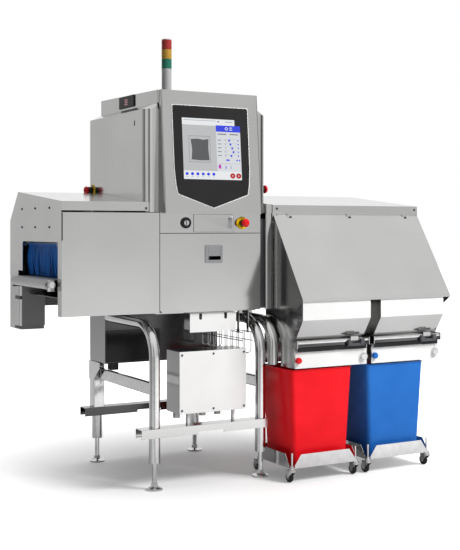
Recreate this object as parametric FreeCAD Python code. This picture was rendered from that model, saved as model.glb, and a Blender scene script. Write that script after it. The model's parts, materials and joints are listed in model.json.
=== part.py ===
import FreeCAD, Part
import math
import os

os.makedirs("parts", exist_ok=True)

Vec = FreeCAD.Vector
nodes = {}

# Sizes are in millimetres. X runs with the belt from infeed to outfeed, Y to the back, Z up.

# Covers and main planes
cover_front = -344.0
machine_back = 388.0
infeed_left = -742.0
infeed_right = -268.5
centre_left = -265.5
centre_right = 268.0
cover_bottom = 805.0
cover_top = 1269.0
sheet = 2.0
plate = 3.0
seam = 3.0
door_depth = 44.0
door_flange = 24.0
door_pin = 3.0
door_pin_y = -330.0
door_pin_z = 814.0
door_eye = 5.0
door_arm = 16.0

infeed_door_depth = 49.0
running_gap = 0.05
swivel_gap = 0.4

# Floor rails, legs and feet
rail_y = 347.0
rail_top = 282.0
rail_height = 42.0
rail_width = 70.0
rail_wall = 3.0
rail_left = -374.0
rail_right = 289.0
rail_relief = 12.0
rail_relief_from = -84.0
rail_relief_to = 48.0
rail_lip = 5.5
leg_xs = (-295.0, 266.0)
leg_tube = 50.0
leg_wall = 2.5
leg_bend = 150.0
leg_run_z = 751.0
sleeve_dia = 52.0
sleeve_bottom = 122.0
foot_dia = 76.0
foot_thick = 8.0
foot_dome = 10.0
stud_dia = 22.0
stud_top = 200.0
nut_across = 34.0
nut_height = 14.0
column_side = 60.0
brace_height = 56.0
brace_width = 30.0
brace_z = 485.0

# Rear cabinet
cabinet_half = 318.0
cabinet_front = 185.0
cabinet_upper_front = 262.0
cabinet_bottom = 517.0
cabinet_step = 800.0
cabinet_panel = 6.0
cabinet_panel_inset = 4.0
cabinet_panel_top = 682.0
terminal_left = -280.0
terminal_width = 38.0
terminal_drop = 34.0

# X-ray tunnel and conveyor
tunnel_front = -284.0
tunnel_back = 250.0
tunnel_wall = 12.0
tunnel_bottom = 893.0
tunnel_floor = 905.0
tunnel_roof = 1133.0
beam_slot = 20.0
belt_top = 967.0
belt_thick = 2.0
belt_back = 223.0
belt_width = 480.0
roller_radius = 20.0
roller_gap = 0.3
roller_face_spare = 5.0
infeed_roller_x = -766.0
outfeed_roller_x = 1196.0
shaft_radius = 6.0
bed_thick = 4.0
bed_rail = 8.0
bed_rail_height = 50.0
knob_radius = 15.0
knob_length = 22.0

# Infeed section
end_plate = 3.0
infeed_cover_lip = 1274.0
infeed_cover_front = 1315.0
ridge_y = 250.0
ridge_z = 1371.0
back_wall_y = 374.0
back_slope_z = 1231.0
back_wall_top = 1229.0
infeed_bottom = 706.0
aperture_back = 182.0
aperture_radius = 14.0
slot_top = 992.0
support_box_right = -626.0
support_box_front = 200.0
pan_z = 878.0
curtain_x = -712.0
curtain_top = 1126.0
curtain_bottom = 976.0
curtain_rod = 4.0
strip_width = 28.0
strip_pitch = 31.0
strip_count = 15
strip_thick = 1.6

# Head
head_left = -320.0
head_right = 333.0
head_front = -298.0
head_top = 1747.0
head_corner = 46.0
head_back_corner = 10.0
head_shoulder = 29.0
cap_left = -258.0
cap_right = 269.0
cap_front = -304.0
cap_front_top = 1836.0
cap_back_top = 1852.0
bezel_left = -252.0
bezel_right = 263.0
bezel_bottom = 1263.0
bezel_bottom_y = -373.0
bezel_top_y = -325.0
shell = 2.5

# Screen on the leaning bezel, measured up the bezel's face from its bottom edge
panel_thick = 5.0
panel_half = ((199.0, 505.0), (198.0, 211.0), (192.0, 135.0), (184.0, 92.0))
panel_point = 28.0
screen_half_x = 154.0
screen_low = 160.0
screen_high = 447.0
screen_thick = 1.5

# Controls
band_bottom = 1173.0
flap_left = -94.0
flap_right = 120.0
flap_top = 1260.0
control_z = 1220.0
key_x = -134.0
key_ring_radius = 26.0
key_radius = 13.0
estop_x = 166.0
estop_disc_radius = 30.0
estop_disc_thick = 3.0
estop_collar_radius = 17.0
estop_collar_length = 22.0
estop_stem_radius = 11.0
estop_cap_radius = 20.0
estop_cap_thick = 16.0
estop_travel = 5.0
side_estop_left_y = 345.0
side_estop_right_y = -218.0
side_estop_z = 1388.0

latch_left = -33.0
latch_right = 60.0
latch_low = 1031.0
latch_high = 1116.0
latch_thick = 3.0
latch_margin = 10.0
paddle_low = 49.0
paddle_high = 7.0
latch_gap = 1.0
latch_pin_radius = 1.0

# Lamp tower
tower_x = -96.0
tower_y = -60.0
tower_radius = 25.0
tower_pole_top = 1973.0
lens_height = 47.0
lens_count = 3
tower_cap = 6.0
lens_chamfer = 1.0

# Under the centre section
hanger_left = -105.0
hanger_right = 142.0
hanger_bottom = 707.0
hanger_y = -330.0
hanger_slots = (-49.0, 85.0)
hanger_slot_width = 15.0
hanger_slot_depth = 32.0
box_left = -178.0
box_right = 176.0
box_front = -368.0
box_back = -231.0
box_bottom = 336.0
box_top = 624.0
box_lid = 2.0
post_radius = 9.0
gland_radius = 17.0
wire_radius = 2.5
tray_wire_count = 8
tray_wire_pitch = 60.0
tray_left = 186.0
tray_right = 230.0
tray_rod_out = 4.0
tray_top = 700.0
tray_bottom = 598.0
tray_front = -320.0
tray_straps = (-280.0, 80.0)

# Reject section
post_left = 299.0
post_right = 335.0
reject_left = 337.0
reject_right = 1224.0
reject_wall = 3.0
hood_left = 343.0
hood_top_z = 1257.0
hood_low_y = -603.0
hood_low_z = 862.0
hood_side_y = -558.0
hood_side_low = 816.0
reject_cover_lip = 1269.0
reject_cover_front = 1308.0
hood_hinge_radius = 2.5
hood_hinge_y = -343.0
hood_hinge_z = 1259.0
hood_lug = 24.0
hood_lug_xs = (430.0, 783.0, 1136.0)
chute_lefts = (347.0, 796.0)
chute_width = 388.0
chute_front = -601.0
chute_front_top = 852.0
chute_knee = 764.0
chute_mouth_y = -534.0
chute_mouth_z = 662.0
chute_back = -262.0
gate_lefts = (345.0, 788.0)
gate_width = 410.0
gate_y = -538.0
gate_low = 533.0
gate_high = 609.0
gate_depth = 9.0
gate_rail_radius = 9.5
gate_rail_y = -548.0
gate_rail_z = 655.0
gate_strip_low = 630.0
gate_lug_front = -561.0
gate_side_back = -415.0
gate_pin = 2.0
clamp_from = 124.0
clamp_to = 30.0
clamp_low = 627.0
reject_tube_x = 317.0
reject_tube_y = -380.0
reject_tube_low = 540.0
reject_tube_bend = 130.0
deflector_reach = 62.0
deflector_top = 760.0
diverter_xs = (404.0, 848.0)
diverter_y = 256.0
diverter_length = 336.0
diverter_low = 972.0
diverter_high = 1072.0

# Waste trolleys
trolley_xs = (505.0, 942.0)
stem_spread = 362.0
stem_front = -542.0
stem_back = -242.0
stem_radius = 4.5
stem_top = 140.0
tray_z = 68.0
lip_top = 132.0
bin_front = -526.0
bin_depth = 282.0
bin_width = 350.0
bin_taper = 24.0
bin_top = 526.0
bin_wall = 4.0
bin_rim = 3.0
bin_rim_height = 6.0
bin_corner = 22.0
caster_wheel = 25.0
caster_tread = 18.0
caster_trail = 22.0
fork_gap = 1.0
fork_wall = 2.5
fork_top = 62.0
axle_radius = 3.0
kingpin_depth = 9.0


# Helpers
def block(x0, x1, y0, y1, z0, z1):
    return Part.makeBox(x1 - x0, y1 - y0, z1 - z0, Vec(x0, y0, z0))


def bar(start, end, radius):
    run = end - start
    return Part.makeCylinder(radius, run.Length, start, run)


def prism(points, push):
    wire = Part.makePolygon(points + points[:1])
    return Part.Face(wire).extrude(push)


def along_x(outline, x0, x1):
    return prism([Vec(x0, y, z) for y, z in outline], Vec(x1 - x0, 0, 0))


def along_y(outline, y0, y1):
    return prism([Vec(x, y0, z) for x, z in outline], Vec(0, y1 - y0, 0))


def along_z(outline, z0, z1):
    return prism([Vec(x, y, z0) for x, y in outline], Vec(0, 0, z1 - z0))


def edges_along(shape, direction, near=None):
    found = []
    for edge in shape.Edges:
        if len(edge.Vertexes) != 2:
            continue
        run = edge.Vertexes[1].Point - edge.Vertexes[0].Point
        if run.Length < 0.01 or abs(run.normalize().dot(direction)) < 0.999:
            continue
        if near is None or near(edge.CenterOfMass):
            found.append(edge)
    return found


def rounded(shape, direction, radius, near=None):
    return shape.makeFillet(radius, edges_along(shape, direction, near))


def swept_rod(points, bend, radius):
    pieces = []
    start = points[0]
    for before, corner, after in zip(points, points[1:], points[2:]):
        into = (corner - before).normalize()
        out = (after - corner).normalize()
        turn = into.getAngle(out)
        back = bend * math.tan(turn / 2)
        first = corner - into * back
        axis = into.cross(out).normalize()
        centre = first + axis.cross(into) * bend
        ring = Part.Face(Part.Wire(Part.makeCircle(radius, first, into)))
        pieces.append(bar(start, first, radius))
        pieces.append(ring.revolve(centre, axis, math.degrees(turn)))
        start = corner + out * back
    pieces.append(bar(start, points[-1], radius))
    return pieces[0].multiFuse(pieces[1:]).removeSplitter()


def bent_tube(points, bend, outer, wall):
    return swept_rod(points, bend, outer / 2).cut(swept_rod(points, bend, outer / 2 - wall))


def folded(points, thick):
    normals = []
    for (y0, z0), (y1, z1) in zip(points, points[1:]):
        run = math.hypot(y1 - y0, z1 - z0)
        normals.append(((z1 - z0) / run, (y0 - y1) / run))
    normals = normals[:1] + normals + normals[-1:]
    inner = []
    for (y, z), (ay, az), (by, bz) in zip(points, normals, normals[1:]):
        scale = thick / (1 + ay * by + az * bz)
        inner.append((y + (ay + by) * scale, z + (az + bz) * scale))
    return inner


def chamfered(shape, size, keep):
    return shape.makeChamfer(size, [e for e in shape.Edges if keep(e)])


def arm_places(x0, x1):
    inset = (x1 - x0) * 0.18
    return (x0 + inset, x1 - inset)


def tray_door(x0, x1, z0, z1, depth, top_depth):
    y0 = cover_front
    face = block(x0, x1, y0, y0 + sheet, z0, z1)
    left = block(x0, x0 + sheet, y0, y0 + depth, z0, z1)
    right = block(x1 - sheet, x1, y0, y0 + depth, z0, z1)
    low = block(x0, x1, y0, y0 + depth, z0, z0 + sheet)
    high = block(x0, x1, y0, y0 + top_depth, z1 - sheet, z1)
    door = face.multiFuse([left, right, low, high]).removeSplitter()
    for x in arm_places(x0, x1):
        half = door_arm / 2 + seam
        door = door.cut(block(x - half, x + half, y0 + sheet, y0 + depth + 1, z0 - 1, z0 + sheet + 1))
    pin = bar(Vec(x0 + sheet / 2, door_pin_y, door_pin_z), Vec(x1 - sheet / 2, door_pin_y, door_pin_z), door_pin)
    return door.fuse(pin)


def door_arms(x0, x1, back):
    arms = []
    for x in arm_places(x0, x1):
        low = Vec(x - door_arm / 2, door_pin_y, door_pin_z)
        high = Vec(x + door_arm / 2, door_pin_y, door_pin_z)
        arm = block(low.x, high.x, door_pin_y, back, door_pin_z - 3, door_pin_z + 3)
        arm = arm.fuse(bar(low, high, door_eye))
        arms.append(arm.cut(bar(low - Vec(1, 0, 0), high + Vec(1, 0, 0), door_pin + running_gap)))
    return arms


def add(name, *solids):
    nodes[name] = solids[0] if len(solids) == 1 else Part.makeCompound(list(solids))


# Frame
def floor_rail(side):
    y0 = side * rail_y - rail_width / 2
    y1 = y0 + rail_width
    low = rail_top - rail_height
    rail = block(rail_left, rail_right, y0, y1, low, rail_top)
    inside = block(rail_left - 1, rail_right + 1, y0 + rail_wall, y1 - rail_wall, low - 1, rail_top - rail_wall)
    relief = block(rail_relief_from, rail_relief_to, y0 - 1, y1 + 1, low - 1, low + rail_relief)
    rail = rail.cut(inside).cut(relief)
    lips = []
    for y in (y0 + rail_wall, y1 - rail_wall - rail_lip):
        for x0, x1 in ((rail_left, rail_relief_from), (rail_relief_to, rail_right)):
            lips.append(block(x0, x1, y, y + rail_lip, low, low + rail_wall))
    return rail.multiFuse(lips).removeSplitter()


def front_leg(x):
    turn = Vec(x, -rail_y, leg_run_z)
    points = [Vec(x, -rail_y, rail_top), turn, Vec(x, cabinet_front, leg_run_z)]
    return bent_tube(points, leg_bend, leg_tube, leg_wall)


def rear_leg(x):
    half = column_side / 2
    column = block(x - half, x + half, rail_y - half, rail_y + half, rail_top, cabinet_bottom)
    hollow = block(x - half + plate, x + half - plate, rail_y - half + plate, rail_y + half - plate,
                   rail_top - 1, cabinet_bottom - plate)
    column = rounded(column, Vec(0, 0, 1), 5.0).cut(hollow)
    out = 40.0
    drop = 96.0
    gusset = along_x([(rail_y - half - out * 2, cabinet_bottom), (rail_y + half, cabinet_bottom),
                      (rail_y + half, cabinet_bottom - drop), (rail_y - half, cabinet_bottom - drop),
                      (rail_y - half - out * 2, cabinet_bottom - 30)], x - half - plate, x - half)
    return column.fuse(gusset)


def leg_sleeve(x, y):
    top = rail_top - rail_wall
    sleeve = bar(Vec(x, y, sleeve_bottom), Vec(x, y, top), sleeve_dia / 2)
    bore = bar(Vec(x, y, sleeve_bottom - 1), Vec(x, y, top - plate), stud_dia / 2 + 0.3)
    return sleeve.cut(bore)


def side_brace(x):
    low = brace_z - brace_height
    front = -rail_y + leg_tube / 2
    back = rail_y - column_side / 2
    beam = block(x - brace_width / 2, x + brace_width / 2, front, back, low, brace_z)
    inside = block(x - brace_width / 2 + plate, x + brace_width / 2 - plate, front - 1, back + 1,
                   low + plate, brace_z - plate)
    saddle = bar(Vec(x, -rail_y, low - 1), Vec(x, -rail_y, brace_z + 1), leg_tube / 2 + 0.02)
    return rounded(beam, Vec(0, 1, 0), 8.0).cut(inside).cut(saddle)


def levelling_foot(x, y):
    disc = bar(Vec(x, y, 0), Vec(x, y, foot_thick), foot_dia / 2)
    dome = Part.makeCone(foot_dia / 2 - 4, stud_dia / 2 + 4, foot_dome, Vec(x, y, foot_thick))
    stud = bar(Vec(x, y, foot_thick), Vec(x, y, stud_top), stud_dia / 2)
    nut_low = foot_thick + foot_dome
    corners = [(x + nut_across / 2 * math.cos(math.radians(60 * i)),
                y + nut_across / 2 * math.sin(math.radians(60 * i))) for i in range(6)]
    nut = along_z(corners, nut_low, nut_low + nut_height)
    return disc.multiFuse([dome, stud, nut]).removeSplitter()


def build_frame():
    posts = [(x, side * rail_y) for side in (-1, 1) for x in leg_xs]
    add("floor_rails", floor_rail(-1), floor_rail(1))
    add("legs", *[front_leg(x) for x in leg_xs], *[rear_leg(x) for x in leg_xs],
        *[leg_sleeve(x, y) for x, y in posts], *[side_brace(x) for x in leg_xs])
    add("levelling_feet", *[levelling_foot(x, y) for x, y in posts])


def cabinet_box(front, low, high):
    outer = block(-cabinet_half, cabinet_half, front, machine_back, low, high)
    return outer.cut(block(-cabinet_half + shell, cabinet_half - shell, front + shell, machine_back - shell,
                           low + shell, high - shell))


def build_cabinet():
    lower = cabinet_box(cabinet_front, cabinet_bottom, cabinet_step)
    upper = cabinet_box(cabinet_upper_front, cabinet_step, cover_top)
    panel = block(-cabinet_half + cabinet_panel_inset, -20, cabinet_front - cabinet_panel, cabinet_front,
                  cabinet_bottom + 11, cabinet_panel_top)
    terminal = block(terminal_left, terminal_left + terminal_width, cabinet_front + 8, cabinet_front + 60,
                     cabinet_bottom - terminal_drop, cabinet_bottom)
    add("rear_cabinet", lower, upper, rounded(panel, Vec(0, 1, 0), 6.0), terminal)


# Tunnel, conveyor and the x-ray units
def build_tunnel():
    x0, x1 = centre_left, centre_right
    front = tunnel_front + tunnel_wall
    back = tunnel_back - tunnel_wall
    plates = [block(x0, x1, tunnel_front, front, tunnel_bottom, cover_top),
              block(x0, x1, back, tunnel_back, tunnel_bottom, cover_top),
              block(x0, x1, front, back, tunnel_bottom, tunnel_floor)]
    for low in (tunnel_roof, cover_top - tunnel_wall):
        plates.append(block(x0, -beam_slot / 2, front, back, low, low + tunnel_wall))
        plates.append(block(beam_slot / 2, x1, front, back, low, low + tunnel_wall))
    add("xray_tunnel", *plates)


def build_units():
    half = 118.0
    tank = block(-half, half, -130, 150, cover_top, cover_top + 190)
    tank = rounded(tank, Vec(0, 0, 1), 20.0)
    neck = bar(Vec(0, 10, cover_top + 190), Vec(0, 10, cover_top + 232), 60.0)
    table_low = belt_top - belt_thick - bed_thick
    detector = block(-32, 32, belt_back - belt_width, belt_back, table_low - 17, table_low)
    add("xray_units", tank.fuse(neck).removeSplitter(), detector)


def rails_low():
    return belt_top - belt_thick - bed_rail_height


def belt_centre_z():
    return belt_top - belt_thick - roller_gap - roller_radius


def stadium(radius, y0, y1):
    z = belt_centre_z()
    left = bar(Vec(infeed_roller_x, y0, z), Vec(infeed_roller_x, y1, z), radius)
    right = bar(Vec(outfeed_roller_x, y0, z), Vec(outfeed_roller_x, y1, z), radius)
    middle = block(infeed_roller_x, outfeed_roller_x, y0, y1, z - radius, z + radius)
    return left.multiFuse([right, middle]).removeSplitter()


def roller(x, knob):
    z = belt_centre_z()
    front = belt_back - belt_width - roller_face_spare
    back = belt_back + roller_face_spare
    drum = bar(Vec(x, front, z), Vec(x, back, z), roller_radius)
    shaft = bar(Vec(x, front - bed_rail - 4, z), Vec(x, back + bed_rail + 4, z), shaft_radius)
    solid = drum.fuse(shaft)
    if knob:
        y = front - bed_rail - 4
        grip = bar(Vec(x, y - knob_length, z), Vec(x, y, z), knob_radius)
        for i in range(12):
            a = math.radians(30 * i)
            at = Vec(x + knob_radius * math.cos(a), y - knob_length - 1, z + knob_radius * math.sin(a))
            grip = grip.cut(bar(at, at + Vec(0, knob_length - 5, 0), 2.2))
        solid = solid.fuse(grip)
    return solid.removeSplitter()


def build_conveyor():
    outer = roller_radius + roller_gap + belt_thick
    front = belt_back - belt_width
    belt = stadium(outer, front, belt_back).cut(stadium(outer - belt_thick, front - 1, belt_back + 1))
    add("conveyor_belt", belt)
    top = belt_top - belt_thick
    x0 = infeed_roller_x + outer + 4
    x1 = outfeed_roller_x - outer - 4
    rail_front = tunnel_front + tunnel_wall
    rail_back = tunnel_back - tunnel_wall
    table = block(x0, x1, rail_front, rail_back, top - bed_thick, top)
    rails = []
    z = belt_centre_z()
    for y in (rail_front, rail_back - bed_rail):
        rail = block(infeed_roller_x - 12, outfeed_roller_x + 12, y, y + bed_rail, top - bed_rail_height, top)
        for x in (infeed_roller_x, outfeed_roller_x):
            rail = rail.cut(bar(Vec(x, y - 1, z), Vec(x, y + bed_rail + 1, z), shaft_radius + running_gap))
        rails.append(rail)
    add("conveyor_bed", table.multiFuse(rails).removeSplitter())
    add("infeed_roller", roller(infeed_roller_x, True))
    add("outfeed_roller", roller(outfeed_roller_x, False))
    motor_x = outfeed_roller_x - 150
    motor = bar(Vec(motor_x, -60, 860), Vec(motor_x, 150, 860), 42.0)
    gearbox = block(motor_x - 45, motor_x + 45, -120, -60, cover_bottom + reject_wall, 905)
    add("drive_motor", motor.fuse(gearbox).removeSplitter())


# Infeed section
def build_infeed():
    x0 = infeed_left - end_plate
    outline = [(cover_front, tunnel_roof), (cover_front, infeed_cover_front), (ridge_y, ridge_z),
               (back_wall_y, back_slope_z), (back_wall_y, infeed_bottom), (support_box_front, infeed_bottom),
               (support_box_front, infeed_bottom + 6), (support_box_front + 46, infeed_bottom + 6),
               (support_box_front + 46, slot_top), (aperture_back, slot_top), (aperture_back, tunnel_roof)]
    end = along_x(outline, x0, infeed_left)
    corner = lambda p: abs(p.y - aperture_back) < 1 and abs(p.z - tunnel_roof) < 1
    end = rounded(end, Vec(1, 0, 0), aperture_radius, corner)
    right = head_left - seam
    back_wall = block(infeed_left, right, back_wall_y - sheet, back_wall_y, infeed_bottom + 100, back_wall_top)
    corner_box = block(infeed_left, support_box_right, support_box_front, back_wall_y, infeed_bottom, rails_low())
    notch = block(infeed_left - 1, support_box_right + 1, support_box_front - 1, support_box_front + 12,
                  infeed_bottom - 1, infeed_bottom + 18)
    box_inside = block(infeed_left + sheet, support_box_right - sheet, support_box_front + sheet,
                       back_wall_y - sheet, infeed_bottom + 24, rails_low() + 1)
    corner_box = corner_box.cut(notch).cut(box_inside)
    pan = block(infeed_left + 40, centre_left, tunnel_front, support_box_front, pan_z, pan_z + sheet)
    pan_back = block(support_box_right, right, support_box_front - 1, back_wall_y, pan_z, pan_z + sheet)
    channel_back = tunnel_front - 6
    channel = block(infeed_left + 40, infeed_right, channel_back, channel_back + plate, door_pin_z - 6,
                    pan_z + sheet)
    pan_front = block(infeed_left + 40, centre_left, channel_back, tunnel_front + 1, pan_z, pan_z + sheet)
    arms = door_arms(infeed_left + 1, infeed_right, channel_back + 1)
    folds = [back_wall, corner_box, pan, pan_front, pan_back, channel] + arms
    shell_body = end.multiFuse(folds).removeSplitter()
    for y in (cover_front + door_depth + 8, aperture_back + 10):
        ear = block(infeed_left - 0.5, curtain_x + 12, y, y + 4, curtain_top - 12, curtain_top + 14)
        hole = bar(Vec(curtain_x, y - 1, curtain_top), Vec(curtain_x, y + 5, curtain_top), curtain_rod + running_gap)
        shell_body = shell_body.fuse(ear.cut(hole))
    add("infeed_body", shell_body)


def build_curtain():
    front = cover_front + door_depth + 8
    rod = bar(Vec(curtain_x, front, curtain_top), Vec(curtain_x, aperture_back + 14, curtain_top), curtain_rod)
    first = front + 8
    strips = []
    for i in range(strip_count):
        y = first + i * strip_pitch
        strips.append(block(curtain_x - strip_thick / 2, curtain_x + strip_thick / 2, y, y + strip_width,
                            curtain_bottom, curtain_top))
    header = block(curtain_x - 3, curtain_x + 3, first, first + (strip_count - 1) * strip_pitch + strip_width,
                   curtain_top - 10, curtain_top)
    add("infeed_curtain", rod.multiFuse([header] + strips).removeSplitter())


def cover_line(lip, front_top):
    return [(cover_front, lip), (cover_front, front_top), (ridge_y, ridge_z), (back_wall_y, back_slope_z)]


def cover_sheet(line, x0, x1):
    return along_x(line + folded(line, sheet)[::-1], x0, x1)


def build_covers():
    right = head_left - seam
    line = cover_line(infeed_cover_lip, infeed_cover_front)
    share = (ridge_z - infeed_cover_lip) / (ridge_z - back_slope_z)
    end = line[:3] + [(ridge_y + share * (back_wall_y - ridge_y), infeed_cover_lip)]
    flange = along_x(end, right - sheet, right)
    add("infeed_cover", cover_sheet(line, infeed_left, right).fuse(flange).removeSplitter())
    add("reject_cover", cover_sheet(cover_line(reject_cover_lip, reject_cover_front), reject_left, reject_right))


# Doors and controls
def latch_sides():
    return (latch_left + latch_margin + 6, latch_right - latch_margin)


def latch_pin(radius):
    x0, x1 = latch_sides()
    y = cover_front - latch_thick / 2 - 0.1
    z = latch_high - paddle_high - latch_gap - latch_pin_radius
    return bar(Vec(x0 - 3, y, z), Vec(x1 + 3, y, z), radius)


def build_doors():
    add("infeed_door", tray_door(infeed_left + 1, infeed_right, cover_bottom, cover_top - seam,
                                 infeed_door_depth, door_flange))
    door = tray_door(centre_left, centre_right, cover_bottom, band_bottom - seam, door_depth, door_flange)
    cut = 13.0
    corner = along_y([(centre_left - 1, cover_bottom - 1), (centre_left + cut, cover_bottom - 1),
                      (centre_left - 1, cover_bottom + cut)], cover_front - 1, cover_front + door_depth + 1)
    door = door.cut(corner)
    x0, x1, z0, z1 = latch_left, latch_right, latch_low, latch_high
    side_x = latch_sides()
    out = Vec(0, 1, 0)
    face = cover_front - latch_thick
    frame = rounded(block(x0, x1, face, cover_front, z0, z1), out, 7.0)
    pocket = block(*side_x, face - 1, cover_front + 1, z1 - paddle_low, z1 - paddle_high)
    slot = rounded(block(*side_x, face - 1, cover_front + sheet + 1, z0 + 15, z0 + 33), out, 5.0)
    frame = frame.cut(rounded(pocket, out, 5.0)).cut(slot).cut(latch_pin(latch_pin_radius + running_gap))
    add("centre_door", door.cut(slot), frame)
    x0, x1 = side_x
    paddle = block(x0 + latch_gap, x1 - latch_gap, cover_front - 2.6, cover_front - 0.6,
                   z1 - paddle_low + latch_gap, z1 - paddle_high - latch_gap)
    add("door_latch", rounded(paddle, out, 4.0).fuse(latch_pin(latch_pin_radius)).removeSplitter())


def build_band():
    depth = cover_front + door_depth
    body = block(centre_left, centre_right, cover_front, tunnel_front, band_bottom, cover_top)
    inside = block(centre_left + sheet, centre_right - sheet, cover_front + sheet, tunnel_front + 1,
                   band_bottom + sheet, cover_top - sheet)
    recess = block(flap_left, flap_right, cover_front - 1, cover_front + 14, band_bottom + 4, flap_top + 1)
    recess_back = block(flap_left - sheet, flap_right + sheet, cover_front + sheet, cover_front + 16,
                        band_bottom + sheet, flap_top + 1 + sheet)
    key_hole = bar(Vec(key_x, cover_front - 1, control_z), Vec(key_x, cover_front + 3, control_z), key_radius + 0.5)
    body = body.cut(inside).fuse(recess_back).cut(recess).cut(key_hole)
    floor = block(centre_left, centre_right, depth + 2, cabinet_front, cover_bottom - 8, cover_bottom - 8 + plate)
    walls = [block(x, x + plate, depth + 2, cabinet_front, cover_bottom - 8, tunnel_bottom)
             for x in (centre_left, centre_right - plate)]
    lip = block(centre_left, centre_right, depth + 2, depth + 2 + plate, cover_bottom - 8, door_pin_z + 6)
    arms = door_arms(centre_left, centre_right, depth + 3)
    pan = floor.multiFuse(walls + [lip] + arms).removeSplitter()
    flap = block(flap_left + 2, flap_right - 1, cover_front - 1, cover_front + 1.5, band_bottom + 5, flap_top)
    finger = block(90, 112, cover_front - 2, cover_front + 0.5, 1194, 1246)
    pin_x = flap_left + 6
    pin_y = cover_front + 2.5
    pin = bar(Vec(pin_x, pin_y, band_bottom + 4.5), Vec(pin_x, pin_y, flap_top + 0.5), 2.5)
    flap = flap.cut(rounded(finger, Vec(0, 1, 0), 5.0)).fuse(pin)
    add("centre_body", body, pan)
    add("port_flap", flap)


def estop_disc(centre, out):
    disc = bar(centre, centre + out * estop_disc_thick, estop_disc_radius)
    collar = bar(centre + out * estop_disc_thick, centre + out * (estop_disc_thick + estop_collar_length),
                 estop_collar_radius)
    bore = bar(centre - out, centre + out * 40, estop_stem_radius + running_gap)
    return disc.fuse(collar).cut(bore)


def estop_button(centre, out):
    base = estop_disc_thick + estop_collar_length + estop_travel + 1
    stem = bar(centre + out * (estop_travel + 1), centre + out * base, estop_stem_radius)
    cap = bar(centre + out * base, centre + out * (base + estop_cap_thick), estop_cap_radius)
    rim = lambda e: abs((e.CenterOfMass - centre).dot(out) - base - estop_cap_thick) < 0.1
    return stem.fuse(chamfered(cap, 4.0, rim)).removeSplitter()


def build_switches():
    front = (Vec(estop_x, cover_front, control_z), Vec(0, -1, 0))
    left = (Vec(head_left, side_estop_left_y, side_estop_z), Vec(-1, 0, 0))
    right = (Vec(head_right, side_estop_right_y, side_estop_z), Vec(1, 0, 0))
    key_at = Vec(key_x, cover_front, control_z)
    out = Vec(0, -1, 0)
    ring = bar(key_at, key_at + out * 9, key_ring_radius)
    ring = chamfered(ring, 3.0, lambda e: abs(e.CenterOfMass.y - cover_front + 9) < 0.1)
    ring = ring.cut(bar(key_at - out, key_at + out * 10, key_radius + running_gap))
    add("switch_bases", estop_disc(*front), estop_disc(*left), estop_disc(*right), ring)
    add("estop_front", estop_button(*front))
    add("estop_left", estop_button(*left))
    add("estop_right", estop_button(*right))
    barrel = bar(key_at - out * 3, key_at + out * 12, key_radius)
    grip = block(key_x - 3, key_x + 3, cover_front - 20, cover_front - 11, control_z - 11, control_z + 11)
    add("key_switch", barrel.fuse(grip).removeSplitter())


# Head
def corner_block(inset, low, high):
    solid = block(head_left + inset, head_right - inset, head_front + inset, machine_back - inset, low, high)
    solid = rounded(solid, Vec(0, 0, 1), head_corner - inset, lambda p: p.y < 0)
    return rounded(solid, Vec(0, 0, 1), head_back_corner - inset, lambda p: p.y > 0)


def build_head():
    body = corner_block(0.0, cover_top, head_top)
    inner = corner_block(shell, cover_top - 1, head_top)
    keyhole = block(head_left - 1, head_left + shell + 1, -184, -174, 1676, 1700)
    top = head_top + head_shoulder
    hollow = shoulder_loft(shell + 1, head_top - 0.5, top - shell)
    add("head_body", body.fuse(shoulder_loft(0, head_top, top)).cut(inner).cut(hollow).cut(keyhole).removeSplitter())


def rectangle(x0, x1, y0, y1, z, front_radius, back_radius):
    solid = block(x0, x1, y0, y1, z, z + 1)
    middle = (y0 + y1) / 2
    solid = rounded(solid, Vec(0, 0, 1), front_radius, lambda p: p.y < middle)
    solid = rounded(solid, Vec(0, 0, 1), back_radius, lambda p: p.y > middle)
    return min(solid.Faces, key=lambda f: f.CenterOfMass.z).OuterWire


def shoulder_loft(inset, low, high):
    front = head_front + inset
    back = machine_back - inset
    lower = rectangle(head_left + inset, head_right - inset, front, back, low, head_corner - inset,
                      head_back_corner - inset)
    upper = rectangle(cap_left - 2 + inset, cap_right + 2 - inset, front + 4, back, high, head_back_corner,
                      head_back_corner - inset)
    return Part.makeLoft([lower, upper], True, True)


def build_cap():
    low = head_top + head_shoulder
    outline = [(cap_front, low), (cap_front, cap_front_top), (machine_back, cap_back_top), (machine_back, low)]
    cap = rounded(along_x(outline, cap_left, cap_right), Vec(0, 0, 1), 6.0)
    hollow = [(cap_front + shell, low - 1), (cap_front + shell, cap_front_top - shell),
              (machine_back - shell, cap_back_top - shell), (machine_back - shell, low - 1)]
    add("head_cap", cap.cut(along_x(hollow, cap_left + shell, cap_right - shell)))


def bezel_lean():
    return math.atan2(bezel_top_y - bezel_bottom_y, cap_front_top - bezel_bottom)


def on_bezel(x, up, out):
    lean = bezel_lean()
    y = bezel_bottom_y + up * math.sin(lean) - out * math.cos(lean)
    z = bezel_bottom + up * math.cos(lean) + out * math.sin(lean)
    return Vec(x, y, z)


def bezel_slab(outline, low, high):
    push = on_bezel(0, 0, high) - on_bezel(0, 0, low)
    return prism([on_bezel(x, up, low) for x, up in outline], push)


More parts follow.
